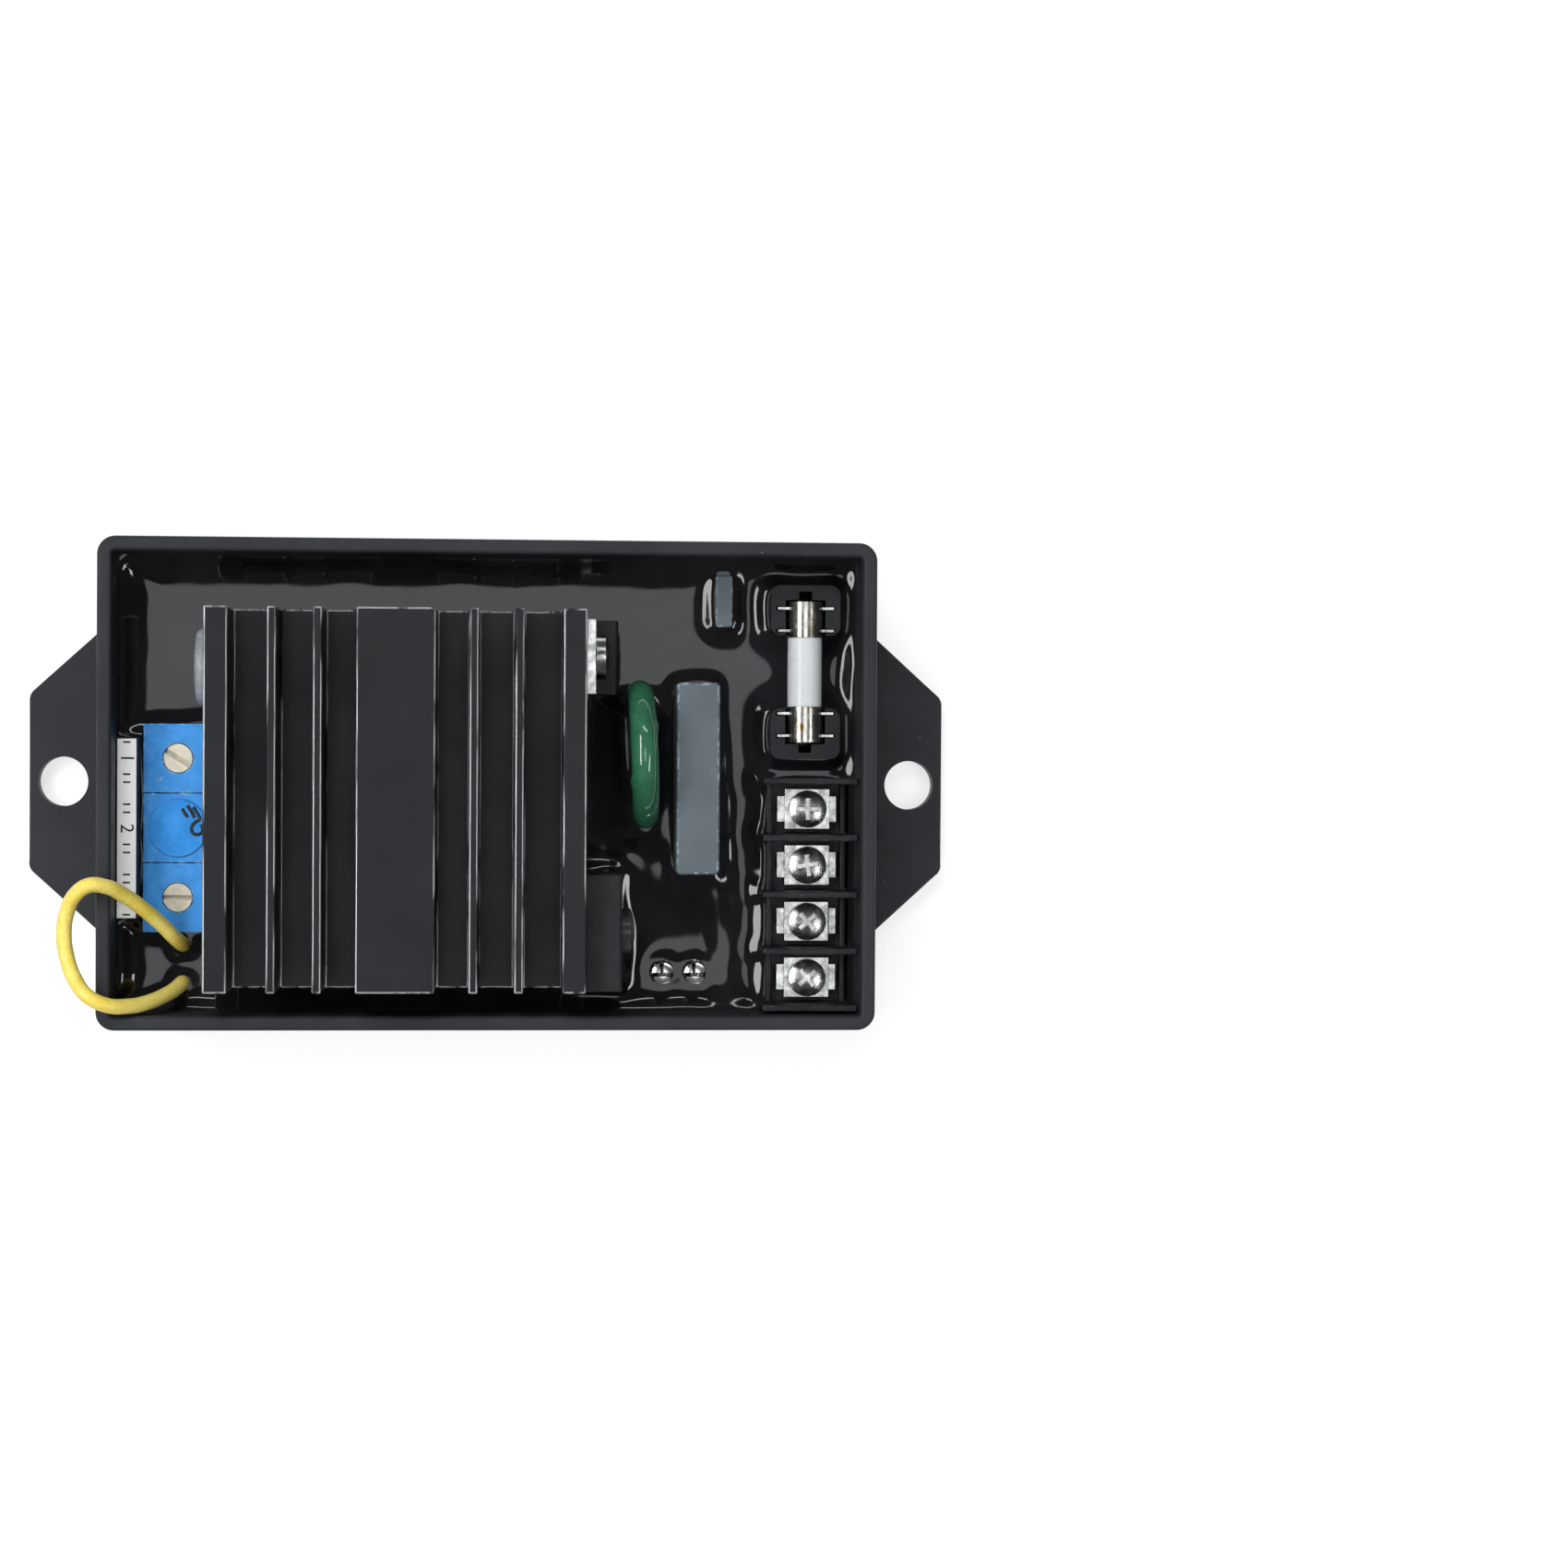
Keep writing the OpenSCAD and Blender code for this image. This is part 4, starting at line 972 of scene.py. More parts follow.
@dataclass
class ResinPool(SubAssembly):
    """Cast resin whose skin climbs every piece that stands in it."""

    level: float = 13.0
    bottom: float = 3.2
    bottom_play: float = 0.01
    spacing: float = 0.36
    into_wall: float = 0.15
    slice_lift: float = 0.1
    smoothing: int = 8
    wander: float = 1.1
    wander_sizes: tuple[float, float] = (6.0, 6.78)
    swell: float = 0.2
    swell_size: float = 16.0
    crease: float = 70.0
    banks: tuple[Bank, ...] = (
        Bank(0.9, (16.0, 22.0, 30.0, 35.5), (-24.0, -10.5, -10.0, 13.5)),
        Bank(0.9, (12.5, 19.5, 22.0, 28.0), (-11.5, -5.5, 9.0, 14.5)),
        Bank(0.4, (29.5, 32.5, 33.0, 36.5), (-33.0, -29.5, -16.0, -10.0)),
        Bank(0.8, (38.5, 43.7, 43.8, 49.0), (9.0, 11.0, 20.5, 22.5)),
    )
    block_rim: float = 1.4
    wetted: tuple[tuple[Climb, tuple[str, ...]], ...] = (
        (Climb.TALL, ("housing", "power_transistor_body", "fuse_holder")),
        (Climb.MIDDLE, ("small_capacitor", "terminal_block")),
        (Climb.LOW, ("jumper_wire", "thyristor_frame", "varistor", "film_capacitor",
                     "trimmer_body_1", "trimmer_body_2", "trimmer_body_3")),
        (Climb.SLIGHT, ("led_lenses",)),
    )

    def waterline(self, name: str, nodes: Sequence[str]) -> bpy.types.Object:
        """Cuts pieces just above the resin's level.

        Args:
            name: The outline's name.
            nodes: CAD nodes that stand in the resin.

        Returns:
            A mesh of edges round those nodes.
        """
        height = (self.level + self.slice_lift) * MM
        lines = bmesh.new()
        for node in nodes:
            shape = merged_copy(node)
            whole = shape.verts[:] + shape.edges[:] + shape.faces[:]
            cut = bmesh.ops.bisect_plane(shape, geom=whole, dist=TOUCH, plane_co=(0, 0, height),
                                         plane_no=(0, 0, 1))["geom_cut"]
            for edge in (item for item in cut if isinstance(item, bmesh.types.BMEdge)):
                if self.outside(node, [corner.co for corner in edge.verts]):
                    lines.edges.new([lines.verts.new(corner.co) for corner in edge.verts])
            shape.free()
        mesh = bpy.data.meshes.new(name)
        lines.to_mesh(mesh)
        lines.free()
        return new_object(name, mesh)

    def outside(self, node: str, ends: Sequence[Vector]) -> bool:
        """Tells whether an edge lies on a piece's outer wall, away from its wells.

        Args:
            node: The CAD node that was cut.
            ends: The edge's two ends.

        Returns:
            True where the resin wets the edge.
        """
        if node != "terminal_block":
            return True
        low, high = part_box(node)
        rim = self.block_rim * MM
        return all(min(end.x - low.x, high.x - end.x, end.y - low.y, high.y - end.y) < rim for end in ends)

    def build(self) -> None:
        """Pours the resin up to its level with a collar round each piece."""
        low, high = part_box("potting")
        middle = (low + high) / 2
        margin = Vector((self.into_wall * MM,) * 2)
        size = (high - low).xy + 2 * margin
        sheet = ShapeSheet("resin_pool")
        level = sheet.inlet("Level", self.level * MM)
        bottom = sheet.inlet("Bottom", self.bottom * MM)
        length = sheet.inlet("Length", size.x)
        width = sheet.inlet("Width", size.y)
        spacing = sheet.inlet("Spacing", self.spacing * MM)
        mesh = sheet.node("GeometryNodeMeshCube", {},
                          {"Size": sheet.join(length, width, 1.0), "Vertices X": length / spacing,
                           "Vertices Y": width / spacing, "Vertices Z": 2})
        point = sheet.node("GeometryNodeInputPosition")
        across, along = point.axis(0) + middle.x, point.axis(1) + middle.y
        outlines = [self.waterline("waterline_" + climb.name.lower(), nodes) for climb, nodes in self.wetted]
        rise = self.collars(sheet, across, along, level, outlines)
        waves = self.waves(sheet, across, along, level)
        top = sheet.node("FunctionNodeCompare", {"data_type": "FLOAT", "operation": "GREATER_THAN"},
                         {0: point.axis(2), 1: 0.0})
        height = sheet.node("GeometryNodeSwitch", {"input_type": "FLOAT"},
                            {"Switch": top, "False": bottom, "True": level + rise + waves})
        poured = sheet.node("GeometryNodeSetPosition", {},
                            {"Geometry": mesh, "Position": sheet.join(across, along, height)})
        pool = sheet.bake(poured, self.paints.of(Slot.RESIN))
        for outline in outlines:
            bpy.data.objects.remove(outline)
        self.flatten_underside(pool)
        self.settle(pool, Slot.RESIN, ["potting"])

    def collars(self, sheet: ShapeSheet, across: Signal, along: Signal, level: Signal,
                outlines: Sequence[bpy.types.Object]) -> Signal:
        """Lets the resin climb the pieces, unevenly.

        Args:
            sheet: The pool's sheet.
            across: X of the point on the skin.
            along: Y of that point.
            level: The resin's level.
            outlines: The waterline of each climb, in the order of wetted.

        Returns:
            How far the skin rises round the pieces.
        """
        skin = sheet.join(across, along, level)
        wander = sheet.inlet("Wander", self.wander * MM)
        aside, onward = [wander * sheet.sway(skin, size) for size in self.wander_sizes]
        wetting = sheet.join(across + aside, along + onward, level)
        collars: list[Signal] = []
        for (climb, _), outline in zip(self.wetted, outlines):
            label = climb.name.capitalize()
            tall, reach = climb.value
            lines = sheet.node("GeometryNodeObjectInfo", {},
                               {"Object": sheet.inlet(label + " Outline", outline)}, "Geometry")
            away = sheet.node("GeometryNodeProximity", {"target_element": "EDGES"},
                              {"Geometry": lines, "Sample Position": wetting}, "Distance")
            fall = (-away / sheet.inlet(label + " Reach", reach * MM)).exp()
            collars.append(sheet.inlet(label + " Rise", tall * MM) * fall)
        return sheet.node("GeometryNodeBlurAttribute", {"data_type": "FLOAT"},
                          {"Value": reduce(Signal.most, collars),
                           "Iterations": sheet.inlet("Smoothing", self.smoothing)})

    def waves(self, sheet: ShapeSheet, across: Signal, along: Signal, level: Signal) -> Signal:
        """Lets the skin swell a little and bank up in places.

        Args:
            sheet: The pool's sheet.
            across: X of the point on the skin.
            along: Y of that point.
            level: The resin's level.

        Returns:
            How far the skin stands above its level away from the pieces.
        """
        swell = sheet.inlet("Swell", self.swell * MM)
        waves = swell * sheet.sway(sheet.join(across, along, level), self.swell_size)
        for number, bank in enumerate(self.banks, 1):
            rise = sheet.inlet(f"Bank {number} Rise", bank.rise * MM)
            waves = waves + rise * bank.inside(across, along)
        return waves

    def flatten_underside(self, pool: bpy.types.Object) -> None:
        """Joins the underside's faces into one and sets the shading.

        Args:
            pool: The poured resin.
        """
        underside = (self.bottom + self.bottom_play) * MM
        shape = bmesh.new()
        shape.from_mesh(pool.data)
        bmesh.ops.remove_doubles(shape, verts=shape.verts[:], dist=TOUCH)
        floor = [face for face in shape.faces if face.calc_center_median().z < underside]
        bmesh.ops.dissolve_faces(shape, faces=floor, use_verts=False)
        bmesh.ops.recalc_face_normals(shape, faces=shape.faces[:])
        shape.to_mesh(pool.data)
        shape.free()
        pool.data.shade_smooth()
        pool.data.set_sharp_from_angle(angle=math.radians(self.crease))


@dataclass
class CoolingBlock(SubAssembly):
    """Finned heatsink with the two semiconductors screwed to its wall."""

    fin_edge: float = 0.24
    short_edge: float = 1.2
    package_edge: float = 0.18
    tab_edge: float = 0.1
    screw_edge: float = 0.12
    smear_out: float = 0.3
    smear_reach: float = 1.0
    smear_proud: float = 0.35
    smear_step: float = 0.3
    smear_waves: float = 420.0
    smear_mean: float = 0.55
    smear_swing: float = 0.75
    least_proud: float = 0.3
    least_reach: float = 0.25
    smear_grain: float = 0.12
    smear_calm: int = 5

    def build(self) -> None:
        """Dresses the heatsink, the packages and the paste that was squeezed out."""
        self.soften("heatsink", Slot.ANODISED, self.fin_edge, shortest=self.short_edge)
        for package in ("power_transistor", "thyristor"):
            self.soften(package + "_body", Slot.PACKAGE, self.package_edge)
        self.soften("thyristor_frame", Slot.TINNED, self.tab_edge)
        self.soften("power_transistor_screw", Slot.BLACK_SCREW, self.screw_edge)
        self.soften("thyristor_screw", Slot.TINNED, self.screw_edge)
        self.squeeze_paste()

    def squeeze_paste(self) -> None:
        """Makes the bead of thermal paste round the upper edge of the small package's tab."""
        body_low, body_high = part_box("thyristor_body")
        tab_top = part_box("thyristor_frame")[1].z
        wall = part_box("heatsink")[1].x
        front, back = body_low.y - self.smear_out * MM, body_high.y + self.smear_out * MM
        corners = ((front, body_high.z), (front, tab_top), (back, tab_top), (back, body_high.z))
        path = [Vector((wall, *corner)) for corner in corners]
        shape = bmesh.new()
        for start, end in zip(path, path[1:]):
            count = max(2, round((end - start).length / (self.smear_step * MM)))
            for k in range(count):
                centre = start.lerp(end, k / count)
                lump = self.smear_mean + self.smear_swing * noise.noise(centre * self.smear_waves)
                proud = self.smear_proud * MM * max(lump, self.least_proud)
                reach = self.smear_reach * MM * max(lump, self.least_reach)
                place = Matrix.Translation(centre) @ Matrix.Diagonal((proud, reach, reach, 1.0))
                bmesh.ops.create_icosphere(shape, subdivisions=2, radius=1.0, matrix=place)
        lumps = mesh_piece("paste_lumps", shape)
        knit = lumps.modifiers.new("knit", "REMESH")
        knit.mode = "VOXEL"
        knit.voxel_size = self.smear_grain * MM
        lumps.modifiers.new("calm", "SMOOTH").iterations = self.smear_calm
        mesh = plain_mesh(lumps)
        mesh.shade_smooth()
        self.settle(new_object("thermal_paste", mesh), Slot.LABEL, finish=PASTE)


@dataclass
class DippedParts(SubAssembly):
    """Coated discs and boxed capacitors."""

    varistor_turn: float = 2.7
    varistor_thick: float = 3.7
    ridge_out: float = 3.75
    ridge_width: float = 0.8
    ridge_proud: float = 0.25
    disc_crease: float = 60.0
    box_edge: float = 0.4
    small_edge: float = 0.24
    steps: int = 72
    rim_steps: int = 12
    face_steps: int = 10

    def build(self) -> None:
        """Makes the discs and dresses the boxes."""
        turn = math.radians(self.varistor_turn)
        self.disc("varistor", Slot.VARISTOR, self.varistor_thick, turn, self.ridge_proud)
        low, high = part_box("disc_capacitor")
        self.disc("disc_capacitor", Slot.DISC, (high.x - low.x) / MM, 0.0, 0.0)
        self.soften("film_capacitor", Slot.CAPACITOR, self.box_edge)
        self.soften("small_capacitor", Slot.CAPACITOR, self.small_edge)

    def disc(self, node: str, slot: Slot, thick: float, turn: float, proud: float) -> None:
        """Makes a dipped disc that stands on edge.

        Args:
            node: The CAD node that it stands for.
            slot: Its slot.
            thick: Thickness in millimetres.
            turn: Turn about the upright axis in radians.
            proud: How far the coated leads stand out of the faces in millimetres.
        """
        low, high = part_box(node)
        middle = (low + high) / 2
        radius = (high.z - low.z) / 2
        half = thick * MM / 2
        face = [(radius - half) * k / self.face_steps for k in range(self.face_steps)]
        rim = [math.pi / 2 - math.pi * k / self.rim_steps for k in range(self.rim_steps + 1)]
        profile = [(r, half) for r in face]
        profile += [(radius - half + half * math.cos(t), half * math.sin(t)) for t in rim]
        profile += [(r, -half) for r in reversed(face)]
        shape = lathe(profile, self.steps)
        bmesh.ops.rotate(shape, verts=shape.verts[:], matrix=Matrix.Rotation(math.pi / 2, 3, "Y"))
        for corner in shape.verts:
            side = math.copysign(1.0, corner.co.x)
            off = (corner.co.y - side * self.ridge_out * MM) / (self.ridge_width * MM)
            share = min(1.0, abs(corner.co.x) / half)
            corner.co.x += side * proud * MM * share * math.exp(-off * off)
        place = Matrix.Translation(middle) @ Matrix.Rotation(turn, 4, "Z")
        bmesh.ops.transform(shape, matrix=place, verts=shape.verts[:])
        self.settle(mesh_piece(node + "_dressed", shape, self.disc_crease), slot, [node])


@dataclass
class FuseSeat(SubAssembly):
    """Fuse in the clips of its holder."""

    holder_edge: float = 0.08
    short_edge: float = 0.3
    clip_edge: float = 0.05
    cap_edge: float = 0.25
    tube_edge: float = 0.1

    def build(self) -> None:
        """Dresses the holder, its clips and the fuse."""
        self.soften("fuse_holder", Slot.TERMINAL, self.holder_edge, shortest=self.short_edge)
        self.soften("fuse_clips", Slot.TINNED, self.clip_edge)
        self.soften("fuse_caps", Slot.NICKEL, self.cap_edge)
        self.soften("fuse_tube", Slot.CERAMIC, self.tube_edge)


@dataclass
class TerminalStrip(SubAssembly):
    """Four-way barrier terminal block with screws and clamping washers."""

    block_edge: float = 0.25
    short_edge: float = 0.6
    plate_edge: float = 0.12
    washer_edge: float = 0.14
    screw_edge: float = 0.08
    ways: int = 4

    def build(self) -> None:
        """Dresses the block, its plates and the moving clamps."""
        self.soften("terminal_block", Slot.TERMINAL, self.block_edge, shortest=self.short_edge)
        self.soften("terminal_plates", Slot.TINNED, self.plate_edge)
        for way in range(1, self.ways + 1):
            self.soften(f"clamp_washer_{way}", Slot.TINNED, self.washer_edge, f"clamp_{way}")
            self.soften(f"terminal_screw_{way}", Slot.TINNED, self.screw_edge, f"screw_{way}")


@dataclass
class TrimmerBank(SubAssembly):
    """Three trimmers, the middle one sealed, beside their numbered label."""

    numbers: tuple[int, ...] = (1, 2, 3)
    sealed: int = 2
    body_edge: float = 0.12
    rotor_edge: float = 0.1
    lacquer_edge: float = 0.12
    label_edge: float = 0.06
    dial_radius: float = 3.1
    dial_marks: int = 7
    dial_sweep: float = 270.0
    mark_radius: float = 0.16
    mark_proud: float = 0.05
    mark_sides: int = 10
    digit_size: float = 2.6
    tick_length: float = 1.0
    tick_width: float = 0.24
    tick_pitch: float = 1.1
    ticks: int = 3
    tick_gap: float = 1.5
    print_proud: float = 0.02
    stroke: float = 0.24
    stroke_flat: float = 0.25
    stroke_rounding: int = 2
    strokes: tuple[tuple[Triple, ...], ...] = (
        ((0.6, 2.7, 0.0), (1.0, 2.0, 0.0), (1.4, 1.5, 0.0)),
        ((1.3, 3.1, 0.0), (1.9, 2.2, 0.0), (2.3, 1.4, 0.0)),
        ((2.1, 2.9, 0.0), (2.7, 2.0, 0.0), (3.1, 1.2, 0.0)),
        ((3.1, 1.2, 0.0), (2.2, 0.6, 0.0), (1.9, -0.3, 0.0), (2.6, -0.9, 0.0), (3.4, -0.4, 0.0),
         (3.2, 0.5, 0.0)),
    )

    def build(self) -> None:
        """Dresses the trimmers and prints the label."""
        for number in self.numbers:
            body = f"trimmer_rotor_{number}" if number != self.sealed else FIXED_BODY
            self.soften(f"trimmer_body_{number}", Slot.TRIMMER, self.body_edge)
            self.soften(f"trimmer_rotor_{number}", Slot.ROTOR, self.rotor_edge, body)
        self.soften("sealing_lacquer", Slot.LACQUER, self.lacquer_edge)
        self.soften("label_strip", Slot.LABEL, self.label_edge)
        for number in self.numbers:
            if number != self.sealed:
                self.dial(number)
        self.number_label()
        self.ink_strokes()

    def dial(self, number: int) -> None:
        """Sets a ring of raised marks round a rotor.

        Args:
            number: Which trimmer.
        """
        low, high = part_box(f"trimmer_rotor_{number}")
        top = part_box(f"trimmer_body_{number}")[1].z
        sheet = ShapeSheet(f"dial_marks_{number}")
        start = math.radians(90.0 - self.dial_sweep / 2)
        arc = sheet.node("GeometryNodeCurveArc", {"mode": "RADIUS"},
                         {"Resolution": sheet.inlet("Marks", self.dial_marks),
                          "Radius": sheet.inlet("Dial Radius", self.dial_radius * MM),
                          "Start Angle": start, "Sweep Angle": math.radians(self.dial_sweep)})
        points = sheet.node("GeometryNodeCurveToPoints", {"mode": "EVALUATED"}, {"Curve": arc})
        mark = sheet.node("GeometryNodeMeshCylinder", {},
                          {"Vertices": self.mark_sides,
                           "Radius": sheet.inlet("Mark Radius", self.mark_radius * MM),
                           "Depth": sheet.inlet("Proud", 2 * self.mark_proud * MM)})
        ring = sheet.node("GeometryNodeInstanceOnPoints", {}, {"Points": points, "Instance": mark})
        centre = ((low.x + high.x) / 2, (low.y + high.y) / 2, top)
        placed = sheet.node("GeometryNodeTransform", {},
                            {"Geometry": ring, "Translation": sheet.inlet("Centre", centre)})
        self.settle(sheet.bake(placed, self.paints.of(Slot.TRIMMER)), Slot.TRIMMER)

    def number_label(self) -> None:
        """Prints a number and a short scale beside each trimmer."""
        low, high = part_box("label_strip")
        middle = (low.x + high.x) / 2
        for number in self.numbers:
            body_low, body_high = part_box(f"trimmer_body_{number}")
            place = Vector((middle, (body_low.y + body_high.y) / 2, high.z))
            self.digit(number, place)
            self.scale(number, place)

    def digit(self, number: int, place: Vector) -> None:
        """Prints one number, turned to read along the strip.

        Args:
            number: The number.
            place: Its middle on the label.
        """
        text = bpy.data.curves.new("digit", "FONT")
        text.body = str(number)
        text.size = self.digit_size * MM
        text.extrude = self.print_proud * MM
        text.align_x = "CENTER"
        text.align_y = "CENTER"
        mesh = plain_mesh(new_object("digit", text))
        mesh.transform(Matrix.Translation(place) @ Matrix.Rotation(-math.pi / 2, 4, "Z"))
        self.settle(new_object(f"label_digit_{number}", mesh), Slot.LABEL, finish=INK)

    def scale(self, number: int, place: Vector) -> None:
        """Prints short ticks on both sides of a number.

        Args:
            number: Which trimmer.
            place: The number's middle on the label.
        """
        sheet = ShapeSheet(f"label_ticks_{number}")
        count = 2 * self.ticks + 1
        pitch = self.tick_pitch * MM
        first = (place.x, place.y - pitch * self.ticks, place.z)
        line = sheet.node("GeometryNodeMeshLine", {"mode": "OFFSET"},
                          {"Count": sheet.inlet("Ticks", count),
                           "Start Location": sheet.inlet("First", first),
                           "Offset": sheet.inlet("Pitch", (0.0, pitch, 0.0))})
        size = (self.tick_length * MM, self.tick_width * MM, 2 * self.print_proud * MM)
        tick = sheet.node("GeometryNodeMeshCube", {}, {"Size": sheet.inlet("Tick Size", size)})
        away = sheet.math("ABSOLUTE", sheet.node("GeometryNodeInputIndex") - float(self.ticks))
        row = sheet.node("GeometryNodeInstanceOnPoints", {},
                         {"Points": line, "Instance": tick,
                          "Selection": sheet.math("GREATER_THAN", away, self.tick_gap)})
        self.settle(sheet.bake(row, self.paints.material(INK)), Slot.LABEL, finish=INK)

    def ink_strokes(self) -> None:
        """Draws the inspector's pen strokes over the sealed trimmer."""
        low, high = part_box("sealing_lacquer")
        centre = Vector(((low.x + high.x) / 2, (low.y + high.y) / 2, high.z))
        mesh = plain_mesh(tube("ink_source", self.stroke, self.stroke_rounding, self.strokes))
        flat = Matrix.Diagonal((1.0, 1.0, self.stroke_flat, 1.0))
        mesh.transform(Matrix.Translation(centre) @ flat)
        self.settle(new_object("ink_strokes", mesh), Slot.LACQUER, finish=INK)


@dataclass
class IndicatorLamps(SubAssembly):
    """Two clear lamps with the metal frames that show inside them."""

    pitch: float = 4.5
    flange: float = 1.9
    flange_high: float = 1.0
    lens: float = 1.5
    lens_edge: float = 0.12
    lens_crease: float = 50.0
    steps: int = 48
    dome_steps: int = 12
    post_drop: float = 2.6
    cup_high: float = 2.1
    plate_reach: float = 1.05
    plate_drop: float = 0.15
    cup: tuple[float, float] = (0.30, 0.4)
    cup_flare: float = 1.2
    cup_steps: int = 24
    gap: float = 0.2

    def build(self) -> None:
        """Makes the lenses as one piece and the frames as another."""
        low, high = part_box("led_lenses")
        along = (low.y + high.y) / 2
        middle = (low.x + high.x) / 2
        centres = [Vector((middle + side * self.pitch * MM / 2, along, low.z)) for side in (-1, 1)]
        lenses, frames = bmesh.new(), bmesh.new()
        for centre in centres:
            self.add(lenses, self.lens_shape(high.z - low.z), centre)
            self.add_frame(frames, centre + Vector((0, 0, high.z - low.z)))
        self.settle(mesh_piece("lamp_lenses", lenses, self.lens_crease), Slot.LENS, ["led_lenses"])
        self.settle(mesh_piece("lamp_frames", frames), Slot.TINNED, finish=SILVERED)

    def add(self, whole: bmesh.types.BMesh, shape: bmesh.types.BMesh, centre: Vector) -> None:
        """Adds a shape at a place to another.

        Args:
            whole: The bmesh to add to.
            shape: The bmesh to add, which is freed.
            centre: Where its origin goes.
        """
        bmesh.ops.translate(shape, verts=shape.verts[:], vec=centre)
        mesh = bpy.data.meshes.new("lamp")
        shape.to_mesh(mesh)
        shape.free()
        whole.from_mesh(mesh)
        bpy.data.meshes.remove(mesh)

    def lens_shape(self, tall: float) -> bmesh.types.BMesh:
        """Turns one lens.

        Args:
            tall: Height of the lens in metres.

        Returns:
            The lens, standing on the origin.
        """
        flange, high, radius = self.flange * MM, self.flange_high * MM, self.lens * MM
        edge = self.lens_edge * MM
        arcs = [math.pi / 2 * k / self.dome_steps for k in range(self.dome_steps + 1)]
        profile = [(0.0, 0.0), (flange - edge, 0.0), (flange, edge), (flange, high - edge),
                   (flange - edge, high), (radius + edge, high), (radius, high + edge)]
        profile += [(radius * math.cos(t), tall - radius + radius * math.sin(t)) for t in arcs]
        profile[-1] = (0.0, tall)
        return lathe(profile, self.steps)

    def add_frame(self, shape: bmesh.types.BMesh, top: Vector) -> None:
        """Adds the three plates and the cup of one lamp.

        Args:
            shape: The bmesh to add to.
            top: Highest point of the lens.
        """
        base = top.z - (self.post_drop + self.cup_high) * MM
        high = top.z - self.post_drop * MM
        reach, gap, split = self.plate_reach * MM, self.gap * MM / 2, top.y - self.plate_drop * MM
        block(shape, (top.x - reach, top.y - reach, base), (top.x + reach, split - gap, high))
        block(shape, (top.x - reach, split + gap, base), (top.x - gap, top.y + reach, high))
        block(shape, (top.x + gap, split + gap, base), (top.x + reach, top.y + reach, high - gap))
        cup, tall = self.cup[0] * MM, self.cup[1] * MM
        place = Matrix.Translation((top.x - reach / 2, split + gap + reach / 2, high))
        bmesh.ops.create_cone(shape, cap_ends=True, segments=self.cup_steps, radius1=cup,
                              radius2=cup * self.cup_flare, depth=tall, matrix=place)


@dataclass(frozen=True)
class Lamp:
    """A rectangular lamp that faces the part; lengths in metres, power in watts."""

    name: str
    place: Triple
    size: tuple[float, float]
    power: float
    mirrored: bool

    def hang(self) -> None:
        """Hangs the lamp; only a mirrored one shows in glossy surfaces."""
        data = bpy.data.lights.new(self.name, "AREA")
        data.shape = "RECTANGLE"
        data.size, data.size_y = self.size
        data.energy = self.power
        lamp = new_object(self.name, data)
        lamp.location = self.place
        lamp.rotation_euler = Vector(self.place).to_track_quat("Z", "Y").to_euler()
        lamp.visible_glossy = self.mirrored


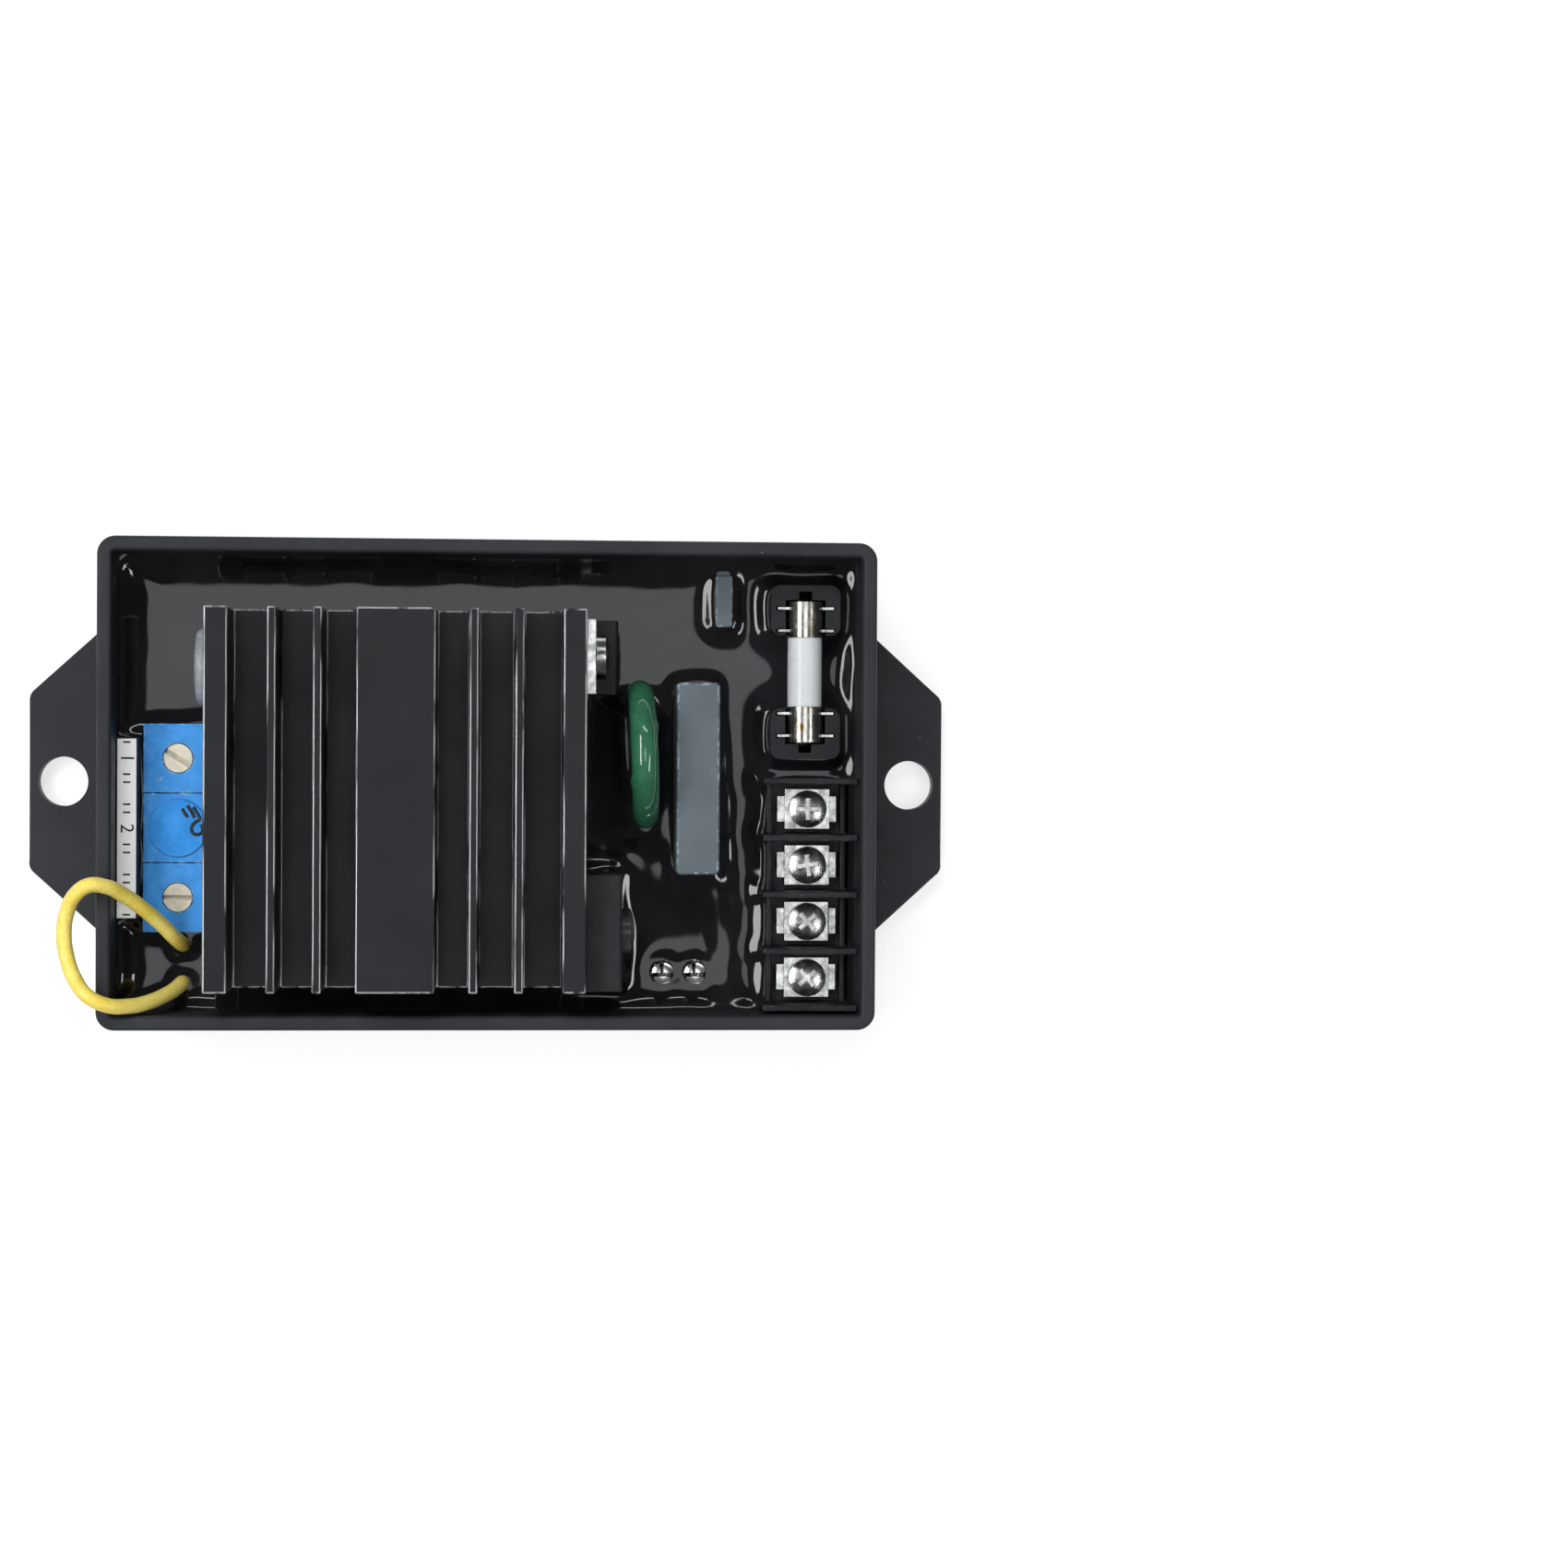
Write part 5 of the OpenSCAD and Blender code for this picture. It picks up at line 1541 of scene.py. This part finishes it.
@dataclass
class Studio:
    """Camera, floor and light of the picture."""

    lens: float = 80.85
    sensor: float = 36.0
    eye: Triple = (0.00103, 0.00548, 0.5063)
    turn: Triple = (-0.0111, -0.0812, 0.0057)
    floor_size: float = 12.0
    floor_glow: float = 0.68
    floor_tone: Colour = (0.40, 0.40, 0.40)
    sky_tint: Colour = (0.94, 0.97, 1.0)
    sky_dim: float = 0.10
    sky_bright: float = 1.9
    sky_edge: tuple[float, float] = (0.978, 0.989)
    lamps: tuple[Lamp, ...] = (
        Lamp("left_fill", (-0.42, 0.10, 0.58), (0.3, 0.3), 0.9, False),
        Lamp("right_fill", (0.60, -0.12, 1.14), (0.5, 0.5), 1.6, False),
        Lamp("back_fill", (-0.25, 0.80, 1.02), (0.5, 0.5), 7.8, False),
        Lamp("front_fill", (-0.25, -0.80, 1.02), (0.9, 0.9), 5.4, False),
        Lamp("left_strip", (-0.72, 0.12, 0.98), (0.9, 0.20), 5.4, True),
        Lamp("right_strip", (0.66, -0.25, 0.98), (0.5, 0.12), 1.9, True),
        Lamp("back_strip", (0.15, 0.78, 0.94), (0.6, 0.06), 0.9, True),
    )

    def set_camera(self) -> None:
        """Puts the camera where the picture was taken."""
        data = bpy.data.cameras.new("camera")
        data.lens = self.lens
        data.sensor_width = self.sensor
        camera = new_object("camera", data)
        camera.location = self.eye
        camera.rotation_euler = Euler(self.turn)
        bpy.context.scene.camera = camera

    def lay_floor(self) -> None:
        """Lays a white floor that keeps a soft shadow."""
        shape = bmesh.new()
        bmesh.ops.create_grid(shape, x_segments=1, y_segments=1, size=self.floor_size / 2)
        floor = mesh_piece("floor", shape)
        sheet = FinishSheet("white_floor")
        rays = ("Is Camera Ray", "Is Glossy Ray", "Is Transmission Ray")
        share = reduce(Signal.most, [sheet.node("ShaderNodeLightPath", {}, {}, ray) for ray in rays])
        matt = sheet.node("ShaderNodeBsdfDiffuse", {}, {"Color": self.floor_tone})
        glow = sheet.node("ShaderNodeEmission", {}, {"Strength": share * self.floor_glow})
        both = sheet.node("ShaderNodeAddShader", {}, {0: matt, 1: glow})
        sheet.finish_at("ShaderNodeOutputMaterial", {"Surface": both})
        floor.data.materials.append(sheet.material)

    def hang_lights(self) -> None:
        """Sets a dim sky with a soft box overhead and a lamp on each side."""
        world = bpy.data.worlds.new("studio")
        world.use_nodes = True
        bpy.context.scene.world = world
        sheet = NodeSheet(world.node_tree)
        upward = sheet.node("ShaderNodeTexCoord", {}, {}, "Generated").axis(2)
        strength = self.sky_dim + (self.sky_bright - self.sky_dim) * upward.ramp(*self.sky_edge)
        sky = sheet.node("ShaderNodeBackground", {}, {"Color": self.sky_tint, "Strength": strength})
        sheet.finish_at("ShaderNodeOutputWorld", {"Surface": sky})
        for lamp in self.lamps:
            lamp.hang()


def main() -> None:
    """Builds the picture: camera and lead first, then every sub-assembly, floor and light."""
    logging.basicConfig(level=logging.INFO, format="%(name)s: %(message)s")
    bpy.context.scene.view_settings.view_transform = "Standard"
    studio = Studio()
    studio.set_camera()
    paints = Paints()
    assemblies: tuple[type[SubAssembly], ...] = (
        JumperLead, Tray, ResinPool, CoolingBlock, DippedParts, FuseSeat, TerminalStrip, TrimmerBank,
        IndicatorLamps)
    for assembly in assemblies:
        assembly(paints).build()
    studio.lay_floor()
    studio.hang_lights()


if __name__ == "__main__":
    main()
